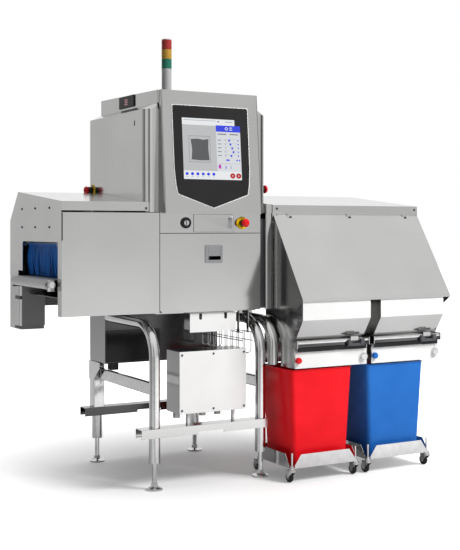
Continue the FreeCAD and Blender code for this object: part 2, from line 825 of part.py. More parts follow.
def build_screen():
    side = [(bezel_bottom_y, bezel_bottom), (bezel_top_y, cap_front_top), (cap_front, cap_front_top),
            (cap_front, head_top), (head_front, head_top), (head_front, cover_top), (head_front - 3, bezel_bottom)]
    bezel = along_x(side, bezel_left, bezel_right)
    ends = (bezel_left, bezel_right)
    front = lambda p: p.y < head_front - 20 and min(abs(p.x - x) for x in ends) < 1
    lean_edges = [e for e in bezel.Edges if front(e.CenterOfMass) and e.Length > 400]
    bezel = bezel.makeFillet(10.0, lean_edges)
    trim = block(bezel_left - 1, bezel_right + 1, bezel_bottom_y - 1, head_front, bezel_bottom - 1, cover_top + 0.5)
    keep = block(bezel_left - 1, bezel_right + 1, bezel_bottom_y - 1, cover_front - 0.5, bezel_bottom - 1,
                 cover_top + 1)
    bezel = bezel.cut(trim.cut(keep))
    lean = math.tan(bezel_lean())
    thick = plate + 1
    hollow = [(bezel_bottom_y + thick + thick * lean, bezel_bottom + thick),
              (bezel_top_y + thick - thick * lean, cap_front_top - thick), (cap_front + 1, cap_front_top - thick),
              (cap_front + 1, cover_top + thick), (head_front + 1, cover_top + thick), (head_front + 1, bezel_bottom + thick)]
    bezel = bezel.cut(along_x(hollow, bezel_left + thick, bezel_right - thick))
    add("head_bezel", bezel)
    mirror = [(-x, up) for x, up in panel_half[::-1]]
    panel = bezel_slab(list(panel_half) + [(0, panel_point)] + mirror, 0.0, panel_thick)
    glass = bezel_slab([(-screen_half_x, screen_low), (screen_half_x, screen_low),
                        (screen_half_x, screen_high), (-screen_half_x, screen_high)],
                       panel_thick, panel_thick + screen_thick)
    low = head_top + head_shoulder
    side_panel = block(cap_left - 6, cap_left, -41, 137, low + 8, low + 66)
    add("displays", panel, glass, side_panel)


def build_tower():
    base_z = cap_front_top + (cap_back_top - cap_front_top) * (tower_y - cap_front) / (machine_back - cap_front)
    axis = lambda z: Vec(tower_x, tower_y, z)
    pole = bar(axis(base_z - 1), axis(tower_pole_top), tower_radius - 1)
    lenses = []
    for i in range(lens_count):
        lens = bar(axis(tower_pole_top + i * lens_height), axis(tower_pole_top + (i + 1) * lens_height), tower_radius)
        lenses.append(chamfered(lens, lens_chamfer, lambda e: abs(e.Length - 2 * math.pi * tower_radius) < 1))
    top = tower_pole_top + lens_count * lens_height
    cap = bar(axis(top), axis(top + tower_cap - 1), tower_radius - 2)
    socket = block(tower_x - 60, tower_x + 60, tower_y - 60, tower_y + 60, 0, base_z)
    roof = along_x([(cap_front, 0), (cap_front, cap_front_top), (machine_back, cap_back_top), (machine_back, 0)],
                   tower_x - 60, tower_x + 60)
    add("signal_tower", pole.cut(roof.common(socket)).cut(roof), *lenses, cap)


# Under the machine
def build_underside():
    top = cover_bottom - 8
    face = block(hanger_left, hanger_right, hanger_y, hanger_y + sheet, hanger_bottom, top)
    left = block(hanger_left, hanger_left + sheet, hanger_y, hanger_y + 60, hanger_bottom + 12, top)
    right = block(hanger_right - sheet, hanger_right, hanger_y, hanger_y + 60, hanger_bottom + 12, top)
    shelf = block(hanger_left, hanger_right, hanger_y, hanger_y + 60, top - sheet, top)
    hanger = face.multiFuse([left, right, shelf])
    for x in hanger_slots:
        half = hanger_slot_width / 2
        centre = top - hanger_slot_depth + half
        slot = block(x - half, x + half, hanger_y - 1, hanger_y + sheet + 1, centre, top + 1)
        low = bar(Vec(x, hanger_y - 1, centre), Vec(x, hanger_y + sheet + 1, centre), half)
        hanger = hanger.cut(slot).cut(low)
    add("hanger_plate", hanger.removeSplitter())
    body = block(box_left, box_right, box_front + box_lid, box_back, box_bottom, box_top)
    inside = block(box_left + sheet, box_right - sheet, box_front, box_back - sheet, box_bottom + sheet,
                   box_top - sheet)
    lid = block(box_left, box_right, box_front, box_front + box_lid, box_bottom, box_top)
    posts = []
    for x in (-122.0, 118.0):
        foot = Vec(x, -rail_y + 6, rail_top)
        posts.append(bar(foot, Vec(x, -rail_y + 6, box_bottom), post_radius))
    glands = [bar(Vec(x, box_back - 60, box_bottom), Vec(x, box_back - 60, box_bottom - 26), gland_radius)
              for x in (-156.0, -20.0, 60.0)]
    add("control_box", body.cut(inside), lid, *posts, *glands)


def build_cable_tray():
    wires = []
    for i in range(tray_wire_count):
        y = tray_front + i * tray_wire_pitch
        points = [Vec(tray_left, y, tray_top), Vec(tray_left, y, tray_bottom), Vec(tray_right, y, tray_bottom),
                  Vec(tray_right, y, tray_top)]
        wires.append(swept_rod(points, 14.0, wire_radius))
    y0 = tray_front - 8
    y1 = tray_front + (tray_wire_count - 1) * tray_wire_pitch + 8
    outer = (tray_left - tray_rod_out, tray_right + tray_rod_out)
    runs = [(x, z) for x in outer for z in (tray_top - 6, tray_top - 46)]
    runs += [(x, tray_bottom - tray_rod_out) for x in (tray_left + 18, tray_right - 18)]
    rods = [bar(Vec(x, y0, z), Vec(x, y1, z), wire_radius) for x, z in runs]
    straps = [block(x - 1.5, x + 1.5, y - 9, y + 9, tray_top - 12, cover_bottom - 8)
              for x in outer for y in tray_straps]
    add("cable_tray", wires[0].multiFuse(wires[1:] + rods + straps))


# Reject section
def build_reject():
    x0, x1 = reject_left, reject_right
    front = cover_front + 4
    wall = reject_wall
    low = cover_bottom
    under = folded(cover_line(reject_cover_lip, reject_cover_front), sheet)
    profile = [(under[0][0], low)] + under[1:] + [(back_wall_y, back_wall_top), (back_wall_y, low)]
    ends = [along_x(profile, x, x + wall) for x in (x0, x1 - wall)]
    inner = (x0 + wall, x1 - wall)
    way = block(x0 - 1, x1 + 1, tunnel_front + tunnel_wall, tunnel_back - tunnel_wall, tunnel_floor, tunnel_roof)
    ends = [end.cut(way) for end in ends]
    back = block(*inner, back_wall_y - wall, back_wall_y, low, back_wall_top)
    floor = block(*inner, chute_back, back_wall_y - wall, low, low + wall)
    header = block(*inner, front, front + wall, cover_top - 30, cover_top + 20)
    for x in hood_lug_xs:
        half = hood_lug / 2
        lug = block(x - half, x + half, hood_hinge_y - 5, front + 1, hood_hinge_z - 5, hood_hinge_z + 5)
        header = header.fuse(lug)
    header = header.cut(hood_pin(hood_hinge_radius + running_gap))
    post = block(post_left, post_right, cover_front, cabinet_upper_front, cover_bottom, cover_top - 2)
    post = rounded(post, Vec(0, 0, 1), 8.0, lambda p: p.y < 0).cut(
        block(post_left - 1, post_right + 1, tunnel_front + tunnel_wall, tunnel_back - tunnel_wall,
              tunnel_floor, tunnel_roof))
    cap = block(post_left - 6, post_right - 1, cover_front - 10, cover_front + 40, cover_top - 2, cover_top + 42)
    cap = rounded(cap, Vec(0, 0, 1), 10.0)
    x = reject_tube_x
    points = [Vec(x, -60, leg_run_z), Vec(x, reject_tube_y, leg_run_z), Vec(x, reject_tube_y, reject_tube_low)]
    tube = bent_tube(points, reject_tube_bend, leg_tube, leg_wall)
    saddle = block(x - 12, x + 12, -160, -100, leg_run_z + leg_tube / 2 - 1, cover_bottom)
    actuators = []
    for x in diverter_xs:
        hub = block(x - 28, x + 28, diverter_y - 24, back_wall_y - wall, diverter_high + 2, diverter_high + 66)
        shaft = bar(Vec(x, diverter_y, diverter_low), Vec(x, diverter_y, diverter_high + 2), shaft_radius)
        actuators.append(hub.fuse(shaft))
    add("reject_body", *ends, back, floor, header, post, cap, tube, saddle, *actuators)


def chute(x0):
    x1 = x0 + chute_width
    wall = sheet
    outer = [(chute_front, chute_front_top), (chute_front, chute_knee), (chute_mouth_y, chute_mouth_z),
             (chute_back, chute_mouth_z), (chute_back, chute_front_top)]
    inner = [(chute_front + wall, chute_front_top + 1), (chute_front + wall, chute_knee),
             (chute_mouth_y + wall, chute_mouth_z - 1), (chute_back - wall, chute_mouth_z - 1),
             (chute_back - wall, chute_front_top + 1)]
    inside = x1 - wall
    slope = [(inside, deflector_top), (inside, deflector_top - wall * 2),
             (inside - deflector_reach, chute_mouth_z + 1), (inside - deflector_reach, chute_mouth_z + 1 + wall * 2)]
    deflector = along_y(slope, chute_mouth_y + wall + 4, chute_back - wall)
    return [along_x(outer, x0, x1).cut(along_x(inner, x0 + wall, x1 - wall)), deflector]


def gate_frame(x0):
    x1 = x0 + gate_width
    back = chute_back + 0.5
    top = gate_rail_z + gate_rail_radius + 2
    rail = bar(Vec(x0, gate_rail_y, gate_rail_z), Vec(x1, gate_rail_y, gate_rail_z), gate_rail_radius)
    strip = block(x0, x1, gate_rail_y - 1, gate_rail_y + 1, gate_strip_low, gate_rail_z)
    solids = [rail, strip]
    for x in (x0 - plate, x1):
        solids.append(block(x, x + plate, gate_y + 1, gate_side_back, gate_low, top))
        solids.append(block(x, x + plate, gate_side_back, back, top - 20, top))
        solids.append(block(x, x + plate, gate_lug_front, gate_y + 1, gate_strip_low, top))
    solids.append(block(x0 - plate, x1 + plate, back, back + plate, gate_low, chute_mouth_z + 20))
    left = x1 - clamp_from
    right = x1 - clamp_to
    jaw = 22.0
    for x in (left, right - jaw):
        solids.append(block(x, x + jaw, gate_rail_y - 18, gate_rail_y, clamp_low + 6, gate_rail_z + 4))
    solids.append(block(left, right, gate_rail_y - 15, gate_rail_y - 8, clamp_low, clamp_low + 14))
    solids.append(block(left + 10, left + 54, gate_rail_y - 20, gate_rail_y - 2, gate_rail_z, gate_rail_z + 19))
    frame = solids[0].multiFuse(solids[1:]).removeSplitter()
    return frame.cut(gate_axle(x0, gate_pin + running_gap))


def gate_axle(x0, radius):
    y = gate_y + gate_depth / 2
    z = gate_high - gate_depth / 2
    return bar(Vec(x0 - plate, y, z), Vec(x0 + gate_width + plate, y, z), radius)


def build_chutes():
    sheets = [solid for x in chute_lefts for solid in chute(x)]
    add("reject_chutes", *sheets, *[gate_frame(x) for x in gate_lefts])


def hood_pin(radius):
    ends = (hood_left + 20, reject_right - 20)
    return bar(*[Vec(x, hood_hinge_y, hood_hinge_z) for x in ends], radius)


def build_hood():
    x0, x1 = hood_left, reject_right
    slope = along_x([(cover_front - 1, hood_top_z), (hood_low_y - 3, hood_low_z), (hood_low_y - 3, hood_low_z - 12),
                     (hood_low_y - 1, hood_low_z - 12), (hood_low_y - 1, hood_low_z), (cover_front + 1, hood_top_z)],
                    x0, x1)
    for x in hood_lug_xs:
        half = hood_lug / 2 + 1
        slope = slope.cut(block(x - half, x + half, hood_hinge_y - 12, hood_hinge_y + 12, hood_hinge_z - 14,
                                hood_hinge_z + 14))
    side = [(cover_front - 1, hood_top_z), (hood_low_y - 1, hood_low_z), (hood_low_y - 1, hood_low_z - 12),
            (hood_side_y, hood_side_low), (cover_front - 1, cover_bottom)]
    sides = [along_x(side, x, x + sheet) for x in (x0, x1 - sheet)]
    add("reject_hood", slope.multiFuse(sides + [hood_pin(hood_hinge_radius)]).removeSplitter())


def build_gates():
    gap = 0.5
    for name, left in zip(("red", "blue"), gate_lefts):
        x0 = left + gap
        x1 = left + gate_width - gap
        front = block(x0, x1, gate_y, gate_y + sheet, gate_low, gate_high)
        top = block(x0, x1, gate_y, gate_y + gate_depth, gate_high - sheet, gate_high)
        ends = [block(x, x + sheet, gate_y, gate_y + gate_depth, gate_low, gate_high) for x in (x0, x1 - sheet)]
        mid = (gate_low + gate_high) / 2
        knob = bar(Vec(x0 + 14, gate_y, mid), Vec(x0 + 14, gate_y - 12, mid), 14.0)
        lock = bar(Vec(x1 - 20, gate_y, mid), Vec(x1 - 20, gate_y - 14, mid), 17.0)
        panel = front.multiFuse([top, gate_axle(left, gate_pin)] + ends).removeSplitter()
        add("gate_" + name, panel, knob, lock)


def build_diverters():
    for name, x in zip(("red", "blue"), diverter_xs):
        arm = block(x, x + diverter_length, diverter_y - 5, diverter_y + 5, diverter_low, diverter_high)
        boss = bar(Vec(x, diverter_y, diverter_low), Vec(x, diverter_y, diverter_high), 14.0)
        bore = bar(Vec(x, diverter_y, diverter_low - 1), Vec(x, diverter_y, diverter_high + 1),
                   shaft_radius + running_gap)
        add("diverter_" + name, arm.fuse(boss).cut(bore))


# Waste trolleys
def trolley(centre):
    x0 = centre - stem_spread / 2
    x1 = centre + stem_spread / 2
    y0, y1 = stem_front, stem_back
    top = tray_z + plate
    floor = block(x0 - 12, x1 + 12, y0 - 12, y1 + 12, tray_z, top)
    cut = 36.0
    run_x = [(x0 + 8, tray_z), (x1 - 8, tray_z), (x1 - 8, tray_z + 14), (x1 - 8 - cut, lip_top),
             (x0 + 8 + cut, lip_top), (x0 + 8, tray_z + 14)]
    run_y = [(y0 + 8, tray_z), (y1 - 8, tray_z), (y1 - 8, tray_z + 14), (y1 - 8 - cut, lip_top),
             (y0 + 8 + cut, lip_top), (y0 + 8, tray_z + 14)]
    lips = [along_y(run_x, y, y + sheet) for y in (y0 - 12, y1 + 12 - sheet)]
    lips += [along_x(run_y, x, x + sheet) for x in (x0 - 12, x1 + 12 - sheet)]
    corners = [(x, y) for x in (x0, x1) for y in (y0, y1)]
    stems = [bar(Vec(x, y, fork_top - kingpin_depth), Vec(x, y, stem_top), stem_radius) for x, y in corners]
    nuts = [bar(Vec(x, y, top), Vec(x, y, top + 8), 9.0) for x, y in corners]
    seats = [bar(Vec(x, y, fork_top + swivel_gap), Vec(x, y, tray_z), 14.0) for x, y in corners]
    return floor.multiFuse(lips + stems + nuts + seats).removeSplitter()


def bin_loft(centre, inset, z0, z1):
    def ring(z):
        share = (z - tray_z) / (bin_top - tray_z)
        half = bin_width / 2 - bin_taper * (1 - share) - inset
        y0 = bin_front + bin_taper * (1 - share) * 0.6 + inset
        y1 = bin_front + bin_depth - bin_taper * (1 - share) * 0.6 - inset
        return rectangle(centre - half, centre + half, y0, y1, z, bin_corner - inset, bin_corner - inset)
    return Part.makeLoft([ring(z0), ring(z1)], True, True)


def waste_bin(centre):
    low = tray_z + plate
    outer = bin_loft(centre, 0.0, low, bin_top)
    inner = bin_loft(centre, bin_wall, low + bin_wall, bin_top + 1)
    half = bin_width / 2
    rim = block(centre - half - bin_rim, centre + half + bin_rim, bin_front - bin_rim,
                bin_front + bin_depth + bin_rim, bin_top - bin_rim_height, bin_top)
    rim = rounded(rim, Vec(0, 0, 1), bin_corner + bin_rim)
    return outer.fuse(rim).cut(inner).removeSplitter()


def caster_fork(x, y):
    half = caster_tread / 2 + fork_gap
    wheel_y = y + caster_trail
    z = caster_wheel
    head = bar(Vec(x, y, fork_top - 12), Vec(x, y, fork_top), 16.0)
    crown = block(x - half - fork_wall, x + half + fork_wall, y - 14, wheel_y + 12, fork_top - 8, fork_top - 4)
    outline = [(y - 14, fork_top - 4), (wheel_y + 12, fork_top - 4), (wheel_y + 9, z), (wheel_y, z - 9),
               (wheel_y - 9, z), (y - 14, fork_top - 12)]
    arms = [along_x(outline, a, a + fork_wall) for a in (x - half - fork_wall, x + half)]
    axle = bar(Vec(x - half - fork_wall - 2, wheel_y, z), Vec(x + half + fork_wall + 2, wheel_y, z), axle_radius)
    bore = bar(Vec(x, y, fork_top - kingpin_depth - 0.5), Vec(x, y, fork_top + 1), stem_radius + running_gap)
    return head.multiFuse([crown, axle] + arms).removeSplitter().cut(bore)


def caster_tyre(x, y):
    half = caster_tread / 2
    wheel_y = y + caster_trail
    start = Vec(x - half, wheel_y, caster_wheel)
    tyre = bar(start, Vec(x + half, wheel_y, caster_wheel), caster_wheel)
    tyre = chamfered(tyre, 3.0, lambda e: abs(e.Length - 2 * math.pi * caster_wheel) < 1)
    return tyre.cut(bar(start - Vec(1, 0, 0), Vec(x + half + 1, wheel_y, caster_wheel), axle_radius + running_gap))


def build_trolleys():
    for name, centre in zip(("red", "blue"), trolley_xs):
        add("trolley_" + name, trolley(centre))
        add("bin_" + name, waste_bin(centre))
        for row, y in (("front", stem_front), ("rear", stem_back)):
            for side, x in (("left", centre - stem_spread / 2), ("right", centre + stem_spread / 2)):
                label = "_".join((name, row, side))
                add("fork_" + label, caster_fork(x, y))
                add("wheel_" + label, caster_tyre(x, y))


def export_all():
    box = Part.makeCompound(list(nodes.values())).optimalBoundingBox(False, False)
    shift = Vec(-(box.XMin + box.XMax) / 2, -(box.YMin + box.YMax) / 2, -box.ZMin)
    for name, shape in nodes.items():
        moved = shape.copy()
        moved.translate(shift)
        moved.exportStep("parts/" + name + ".step")
    print("nodes", len(nodes), "shift", shift, "size", box.XLength, box.YLength, box.ZLength)


build_frame()
build_cabinet()
build_tunnel()
build_units()
build_conveyor()
build_infeed()
build_curtain()
build_covers()
build_doors()
build_band()
build_switches()
build_head()
build_cap()
build_screen()
build_tower()
build_underside()
build_cable_tray()
build_reject()
build_chutes()
build_hood()
build_gates()
build_diverters()
build_trolleys()
export_all()
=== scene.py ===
import json
import math
import random

import bmesh
import bpy
from mathutils import Matrix, Vector


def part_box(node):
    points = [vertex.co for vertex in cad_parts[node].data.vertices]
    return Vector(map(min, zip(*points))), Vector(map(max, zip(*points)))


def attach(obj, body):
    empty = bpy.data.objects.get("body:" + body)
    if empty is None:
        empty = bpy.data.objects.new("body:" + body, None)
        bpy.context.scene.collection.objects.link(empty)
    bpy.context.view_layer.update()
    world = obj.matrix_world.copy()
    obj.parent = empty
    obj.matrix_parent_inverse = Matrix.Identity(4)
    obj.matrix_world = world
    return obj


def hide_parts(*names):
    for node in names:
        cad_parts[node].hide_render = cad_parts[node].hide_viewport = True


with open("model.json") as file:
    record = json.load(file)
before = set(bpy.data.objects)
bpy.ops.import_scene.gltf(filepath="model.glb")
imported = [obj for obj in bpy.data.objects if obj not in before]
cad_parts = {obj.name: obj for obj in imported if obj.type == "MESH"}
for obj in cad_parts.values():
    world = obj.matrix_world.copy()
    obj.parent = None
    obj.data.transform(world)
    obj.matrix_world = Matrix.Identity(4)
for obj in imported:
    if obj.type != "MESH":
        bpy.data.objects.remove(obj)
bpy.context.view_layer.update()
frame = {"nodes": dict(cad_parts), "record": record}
bodyOf = {name: body for body, names in frame["record"]["behaviour"]["bodies"].items() for name in names}
slotOf = {entry["node"]: entry["material_slot"] for entry in frame["record"]["subparts"]}
shift = Vector((-217.85, 109.0, 0.0))  # the source's millimetres are moved by this
print("frame loaded,", len(frame["nodes"]), "nodes")


def at(x, y, z):
    return (Vector((x, y, z)) + shift) / 1000


def linear(hexText):
    values = [int(hexText[i:i + 2], 16) / 255 for i in (1, 3, 5)]
    return tuple(v / 12.92 if v <= 0.04045 else ((v + 0.055) / 1.055) ** 2.4 for v in values) + (1.0,)


# Materials
def addNode(tree, kind, settings=None, links=None):
    made = tree.nodes.new(kind)
    for key, value in (settings or {}).items():
        if isinstance(key, int) or key in made.inputs:
            made.inputs[key].default_value = value
        else:
            setattr(made, key, value)
    for key, socket in (links or {}).items():
        tree.links.new(socket, made.inputs[key])
    return made


def newMaterial(name, **settings):
    made = bpy.data.materials.new(name)
    made.use_nodes = True
    tree = made.node_tree
    shader = tree.nodes["Principled BSDF"]
    for key, value in settings.items():
        shader.inputs[key.replace("_", " ")].default_value = value
    return made, tree, shader


def ramp(tree, factor, stops):
    made = addNode(tree, "ShaderNodeValToRGB", links={0: factor})
    made.color_ramp.elements[0].position = stops[0][0]
    made.color_ramp.elements[0].color = linear(stops[0][1])
    made.color_ramp.elements[1].position = stops[-1][0]
    made.color_ramp.elements[1].color = linear(stops[-1][1])
    for position, colour in stops[1:-1]:
        made.color_ramp.elements.new(position).color = linear(colour)
    return made.outputs[0]


def mottle(tree, scale, detail=3.0, stretch=(1, 1, 1)):
    place = addNode(tree, "ShaderNodeTexCoord").outputs["Object"]
    turned = addNode(tree, "ShaderNodeMapping", {"Scale": stretch}, {"Vector": place}).outputs[0]
    noise = addNode(tree, "ShaderNodeTexNoise", {"Scale": scale, "Detail": detail}, {"Vector": turned})
    return noise.outputs["Fac"]


noiseRange = {"From Min": 0.25, "From Max": 0.75}  # noise seldom leaves its middle values


def between(tree, factor, low, high):
    spread = addNode(tree, "ShaderNodeMapRange", {**noiseRange, "To Min": low, "To Max": high}, {"Value": factor})
    return spread.outputs[0]


def surface(tree, shader, cloud, light, dark, fine, roughLow, roughHigh, relief=0.0):
    # two close tones that drift into each other, with roughness and relief after a finer pattern
    tree.links.new(ramp(tree, cloud, [(0.3, dark), (0.7, light)]), shader.inputs["Base Color"])
    tree.links.new(between(tree, fine, roughLow, roughHigh), shader.inputs["Roughness"])
    if relief:
        bump = addNode(tree, "ShaderNodeBump", {"Strength": relief, "Distance": 0.0004}, {"Height": fine})
        tree.links.new(bump.outputs[0], shader.inputs["Normal"])


# the real sheet's grinding lines are 0.3 mm apart and too fine to show, so the grain is drawn at 8 mm
steelLook = {"grain": 120.0, "stretch": (1.0, 0.04, 1.0), "roughLow": 0.13, "roughHigh": 0.18}


def satinSteel(name, light, dark):
    # ground stainless sheet: a soft mirror, a little softer along its faint grain
    made, tree, shader = newMaterial(name, Metallic=1.0)
    grain = mottle(tree, steelLook["grain"], 2.0, steelLook["stretch"])
    surface(tree, shader, mottle(tree, 2.5, 2.0), light, dark, grain, steelLook["roughLow"], steelLook["roughHigh"])
    return made


def brightMetal(name, light, dark, roughLow, roughHigh):
    # polished or plated metal: near mirror, with a soft haze from handling
    made, tree, shader = newMaterial(name, Metallic=1.0)
    haze = mottle(tree, 30.0)
    surface(tree, shader, haze, light, dark, haze, roughLow, roughHigh)
    return made


def plastic(name, light, dark, rough, skinScale=900.0, shine=0.25):
    # moulded plastic or rubber: an even colour with slight clouding and a mould texture of 1 to 5 mm
    made, tree, shader = newMaterial(name, Specular_IOR_Level=shine)
    skin = mottle(tree, skinScale, 2.0)
    surface(tree, shader, mottle(tree, 6.0), light, dark, skin, rough - 0.05, rough + 0.05, 0.05)
    return made


def enamel(name, light, dark, rough):
    # baked enamel: smooth, with faint orange peel of about 4 mm
    made, tree, shader = newMaterial(name, Specular_IOR_Level=0.3)
    peel = mottle(tree, 260.0, 2.0)
    surface(tree, shader, mottle(tree, 4.0), light, dark, peel, rough - 0.04, rough + 0.04, 0.06)
    return made


def beltCloth():
    # coated polyester belt: a weave under a smooth pale coat, drawn in squares of 2.5 mm so that it shows
    made, tree, shader = newMaterial("coatedBelt", Roughness=0.42)
    place = addNode(tree, "ShaderNodeTexCoord").outputs["Object"]
    threads = {"Scale": 400.0, "Color1": linear("#dcdcdb"), "Color2": linear("#cfcfce")}
    weave = addNode(tree, "ShaderNodeTexChecker", threads, {"Vector": place})
    tree.links.new(weave.outputs[0], shader.inputs["Base Color"])
    bump = addNode(tree, "ShaderNodeBump", {"Strength": 0.15, "Distance": 0.0003}, {"Height": weave.outputs["Fac"]})
    tree.links.new(bump.outputs[0], shader.inputs["Normal"])
    return made


def lampLens(name, light, dark):
    # ribbed polycarbonate lens, unlit
    made, tree, shader = newMaterial(name, Roughness=0.22, Specular_IOR_Level=0.3)
    place = addNode(tree, "ShaderNodeTexCoord").outputs["Object"]
    ribs = addNode(tree, "ShaderNodeTexWave", {"bands_direction": "Z", "Scale": 60.0}, {"Vector": place})
    tree.links.new(ramp(tree, ribs.outputs["Fac"], [(0.2, dark), (0.8, light)]), shader.inputs["Base Color"])
    return made


def screenInk(name, colour, strength=0.85):
    # a lit pixel area: the light is the colour, the glass over it is glossy
    made, tree, shader = newMaterial(name, Roughness=0.3)
    shader.inputs["Base Color"].default_value = linear("#0a0a0a")
    shader.inputs["Emission Color"].default_value = linear(colour)
    shader.inputs["Emission Strength"].default_value = strength
    return made


finish = {
    "brushed_stainless": satinSteel("satinStainlessSheet", "#cacac9", "#c2c2c1"),
    "polished_stainless": brightMetal("polishedStainlessTube", "#d6d6d6", "#cacaca", 0.08, 0.14),
    "grey_paint": enamel("greyEnamel", "#5c5f63", "#515458", 0.4),
    "white_plastic": plastic("whiteAcetal", "#dedddb", "#d4d3d0", 0.4),
    "belt_fabric": beltCloth(),
    "blue_curtain": plastic("blueCurtainRubber", "#2270c8", "#1a5aa8", 0.35, 200.0, 0.05),
    "latch_grey": enamel("satinGreyZinc", "#8f9092", "#848587", 0.35),
    "yellow_plastic": plastic("yellowAbs", "#f0c610", "#e4b908", 0.3),
    "lock_chrome": brightMetal("chromedBrass", "#dadada", "#d0d0d0", 0.06, 0.12),
    "black_panel": plastic("blackPanelFilm", "#262626", "#202020", 0.3, 500.0, 0.2),
    "tower_grey": plastic("greyPolycarbonate", "#b9b9b9", "#aeaeae", 0.35),
    "red_button": plastic("redAbs", "#e01a1e", "#cc1217", 0.25),
    "red_bin": plastic("redPolyethylene", "#f61a26", "#e9131f", 0.24, 500.0, 0.1),
    "blue_bin": plastic("bluePolyethylene", "#2a73c8", "#2269bd", 0.24, 500.0, 0.1),
    "fork_zinc": brightMetal("brightZinc", "#c8c8c9", "#bbbbbc", 0.14, 0.24),
    "wheel_rubber": plastic("blackCasterRubber", "#1d1d1e", "#151516", 0.5, 400.0),
}
# a darker copy of the sheet steel that paints half shade on the infeed's pan, the rear cabinet and the backs of the
# white boxes
halfShadeSteel = satinSteel("halfShadeStainlessSheet", "#a2a2a2", "#989898")
# a dark grey enamel that paints the shade on the infeed's lower rear corner box
cornerShadeEnamel = enamel("cornerShadeBoxEnamel", "#7c7c7c", "#727272", 0.4)
shadedSteel = satinSteel("shadedStainlessSheet", "#5e5e5f", "#4e4e4f")
blackCollar = plastic("blackNylon", "#1b1b1c", "#141415", 0.35)
whiteEnamel = enamel("whiteEnamelSheet", "#f0f0ef", "#e9e9e8", 0.32)
darkCasting = enamel("darkClampCasting", "#55565a", "#46474a", 0.4)
blackGlass = plastic("blackCabinetGlass", "#2b2b2c", "#232324", 0.12, 300.0, 0.5)
print("materials made,", len(finish))


# Pieces
def piece(name, mesh, body, slot, *materials):
    made = bpy.data.objects.new(name, mesh)
    bpy.context.scene.collection.objects.link(made)
    for entry in materials:
        made.data.materials.append(entry)
    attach(made, body)
    return made


def smoothed(mesh, sharpAngle=32.0):
    for face in mesh.polygons:
        face.use_smooth = True
    mesh.set_sharp_from_angle(angle=math.radians(sharpAngle))
    return mesh


dressing = {"weld": 0.00002, "flatAngle": 0.6, "edgeAngle": 50.0}


def dressed(name, bevel, materials=None, pick=None):
    # a copy of the node's own shape, its triangles joined up and its edges eased
    # pick gives a face its material, from the face's middle in the source's millimetres and its normal
    mesh = frame["nodes"][name].data.copy()
    mesh.materials.clear()
    form = bmesh.new()
    form.from_mesh(mesh)
    bmesh.ops.remove_doubles(form, verts=form.verts, dist=dressing["weld"])
    flat = math.radians(dressing["flatAngle"])
    bmesh.ops.dissolve_limit(form, angle_limit=flat, verts=form.verts, edges=form.edges)
    form.to_mesh(mesh)
    form.free()
    smoothed(mesh)
    if pick:
        for face in mesh.polygons:
            face.material_index = pick(face.center * 1000 - shift, face.normal)
    made = piece(name + "Form", mesh, bodyOf[name], slotOf[name], *(materials or [finish[slotOf[name]]]))
    if bevel:
        ease = made.modifiers.new("ease", "BEVEL")
        ease.width = bevel
        ease.segments = 2
        ease.limit_method = "ANGLE"
        ease.angle_limit = math.radians(dressing["edgeAngle"])
        ease.harden_normals = True
    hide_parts(name)
    return made


def lathe(profile, start, direction, steps=40):
    # turns (along, radius) points about the line from start
    turn = Vector(direction).normalized().to_track_quat("Z", "Y").to_matrix().to_4x4()
    form = bmesh.new()
    rings = []
    for along, radius in profile:
        if radius < 1e-6:
            rings.append([form.verts.new((0, 0, along))])
            continue
        angles = [2 * math.pi * i / steps for i in range(steps)]
        rings.append([form.verts.new((radius * math.cos(a), radius * math.sin(a), along)) for a in angles])
    for low, high in zip(rings, rings[1:]):
        for i in range(steps):
            j = (i + 1) % steps
            corners = [low[i % len(low)], low[j % len(low)], high[j % len(high)], high[i % len(high)]]
            corners = [v for k, v in enumerate(corners) if v not in corners[:k]]
            form.faces.new(corners)
    bmesh.ops.recalc_face_normals(form, faces=form.faces)
    form.transform(Matrix.Translation(start) @ turn)
    return form


def closeForm(name, form):
    mesh = bpy.data.meshes.new(name)
    form.to_mesh(mesh)
    form.free()
    return smoothed(mesh)


def merge(name, forms):
    whole = bmesh.new()
    for index, form in forms:
        for face in form.faces:
            face.material_index = index
        part = bpy.data.meshes.new("part")
        form.to_mesh(part)
        form.free()
        whole.from_mesh(part)
        bpy.data.meshes.remove(part)
    return closeForm(name, whole)


def slab(low, high, bevel=0.0):
    form = bmesh.new()
    bmesh.ops.create_cube(form, size=1.0)
    low, high = Vector(low), Vector(high)
    size = high - low
    form.transform(Matrix.Translation((low + high) / 2) @ Matrix.Diagonal((*size, 1.0)))
    if bevel:
        bmesh.ops.bevel(form, geom=form.edges[:], offset=bevel, segments=2, affect="EDGES")
    return form


# Plain sheet and tube nodes keep the source's shape, with edges eased by this many metres
sheetNodes = {
    "infeed_cover": 0.0009, "reject_cover": 0.0009, "infeed_door": 0.0009, "centre_body": 0.0007,
    "port_flap": 0.0006, "head_body": 0.0012, "head_cap": 0.0012, "head_bezel": 0.0012,
    "reject_body": 0.0008, "reject_hood": 0.0008, "hanger_plate": 0.0006, "control_box": 0.0009,
    "cable_tray": 0.0, "xray_tunnel": 0.001, "conveyor_bed": 0.0008, "xray_units": 0.001,
    "drive_motor": 0.001, "floor_rails": 0.0007, "legs": 0.0007, "levelling_feet": 0.0008,
    "infeed_roller": 0.0005, "outfeed_roller": 0.0005, "diverter_red": 0.001, "diverter_blue": 0.001,
    "conveyor_belt": 0.0, "door_latch": 0.0005, "bin_red": 0.001, "bin_blue": 0.001,
    "trolley_red": 0.0006, "trolley_blue": 0.0006,
}
whiteSheet = ("hanger_plate", "control_box")
forkBevel = 0.0004
facing = {"lid": -0.7, "cabinet": -0.9, "chute": -0.99}  # a face whose normal is below this looks to the front


def lidFinish(spot, normal):
    # enamelled in front, behind a darker copy of the steel that paints half shade
    return 0 if normal.y < facing["lid"] else 1


def railFinish(spot, normal):
    # the rear rail stands in the shade
    return 1 if spot.y > 0 else 0


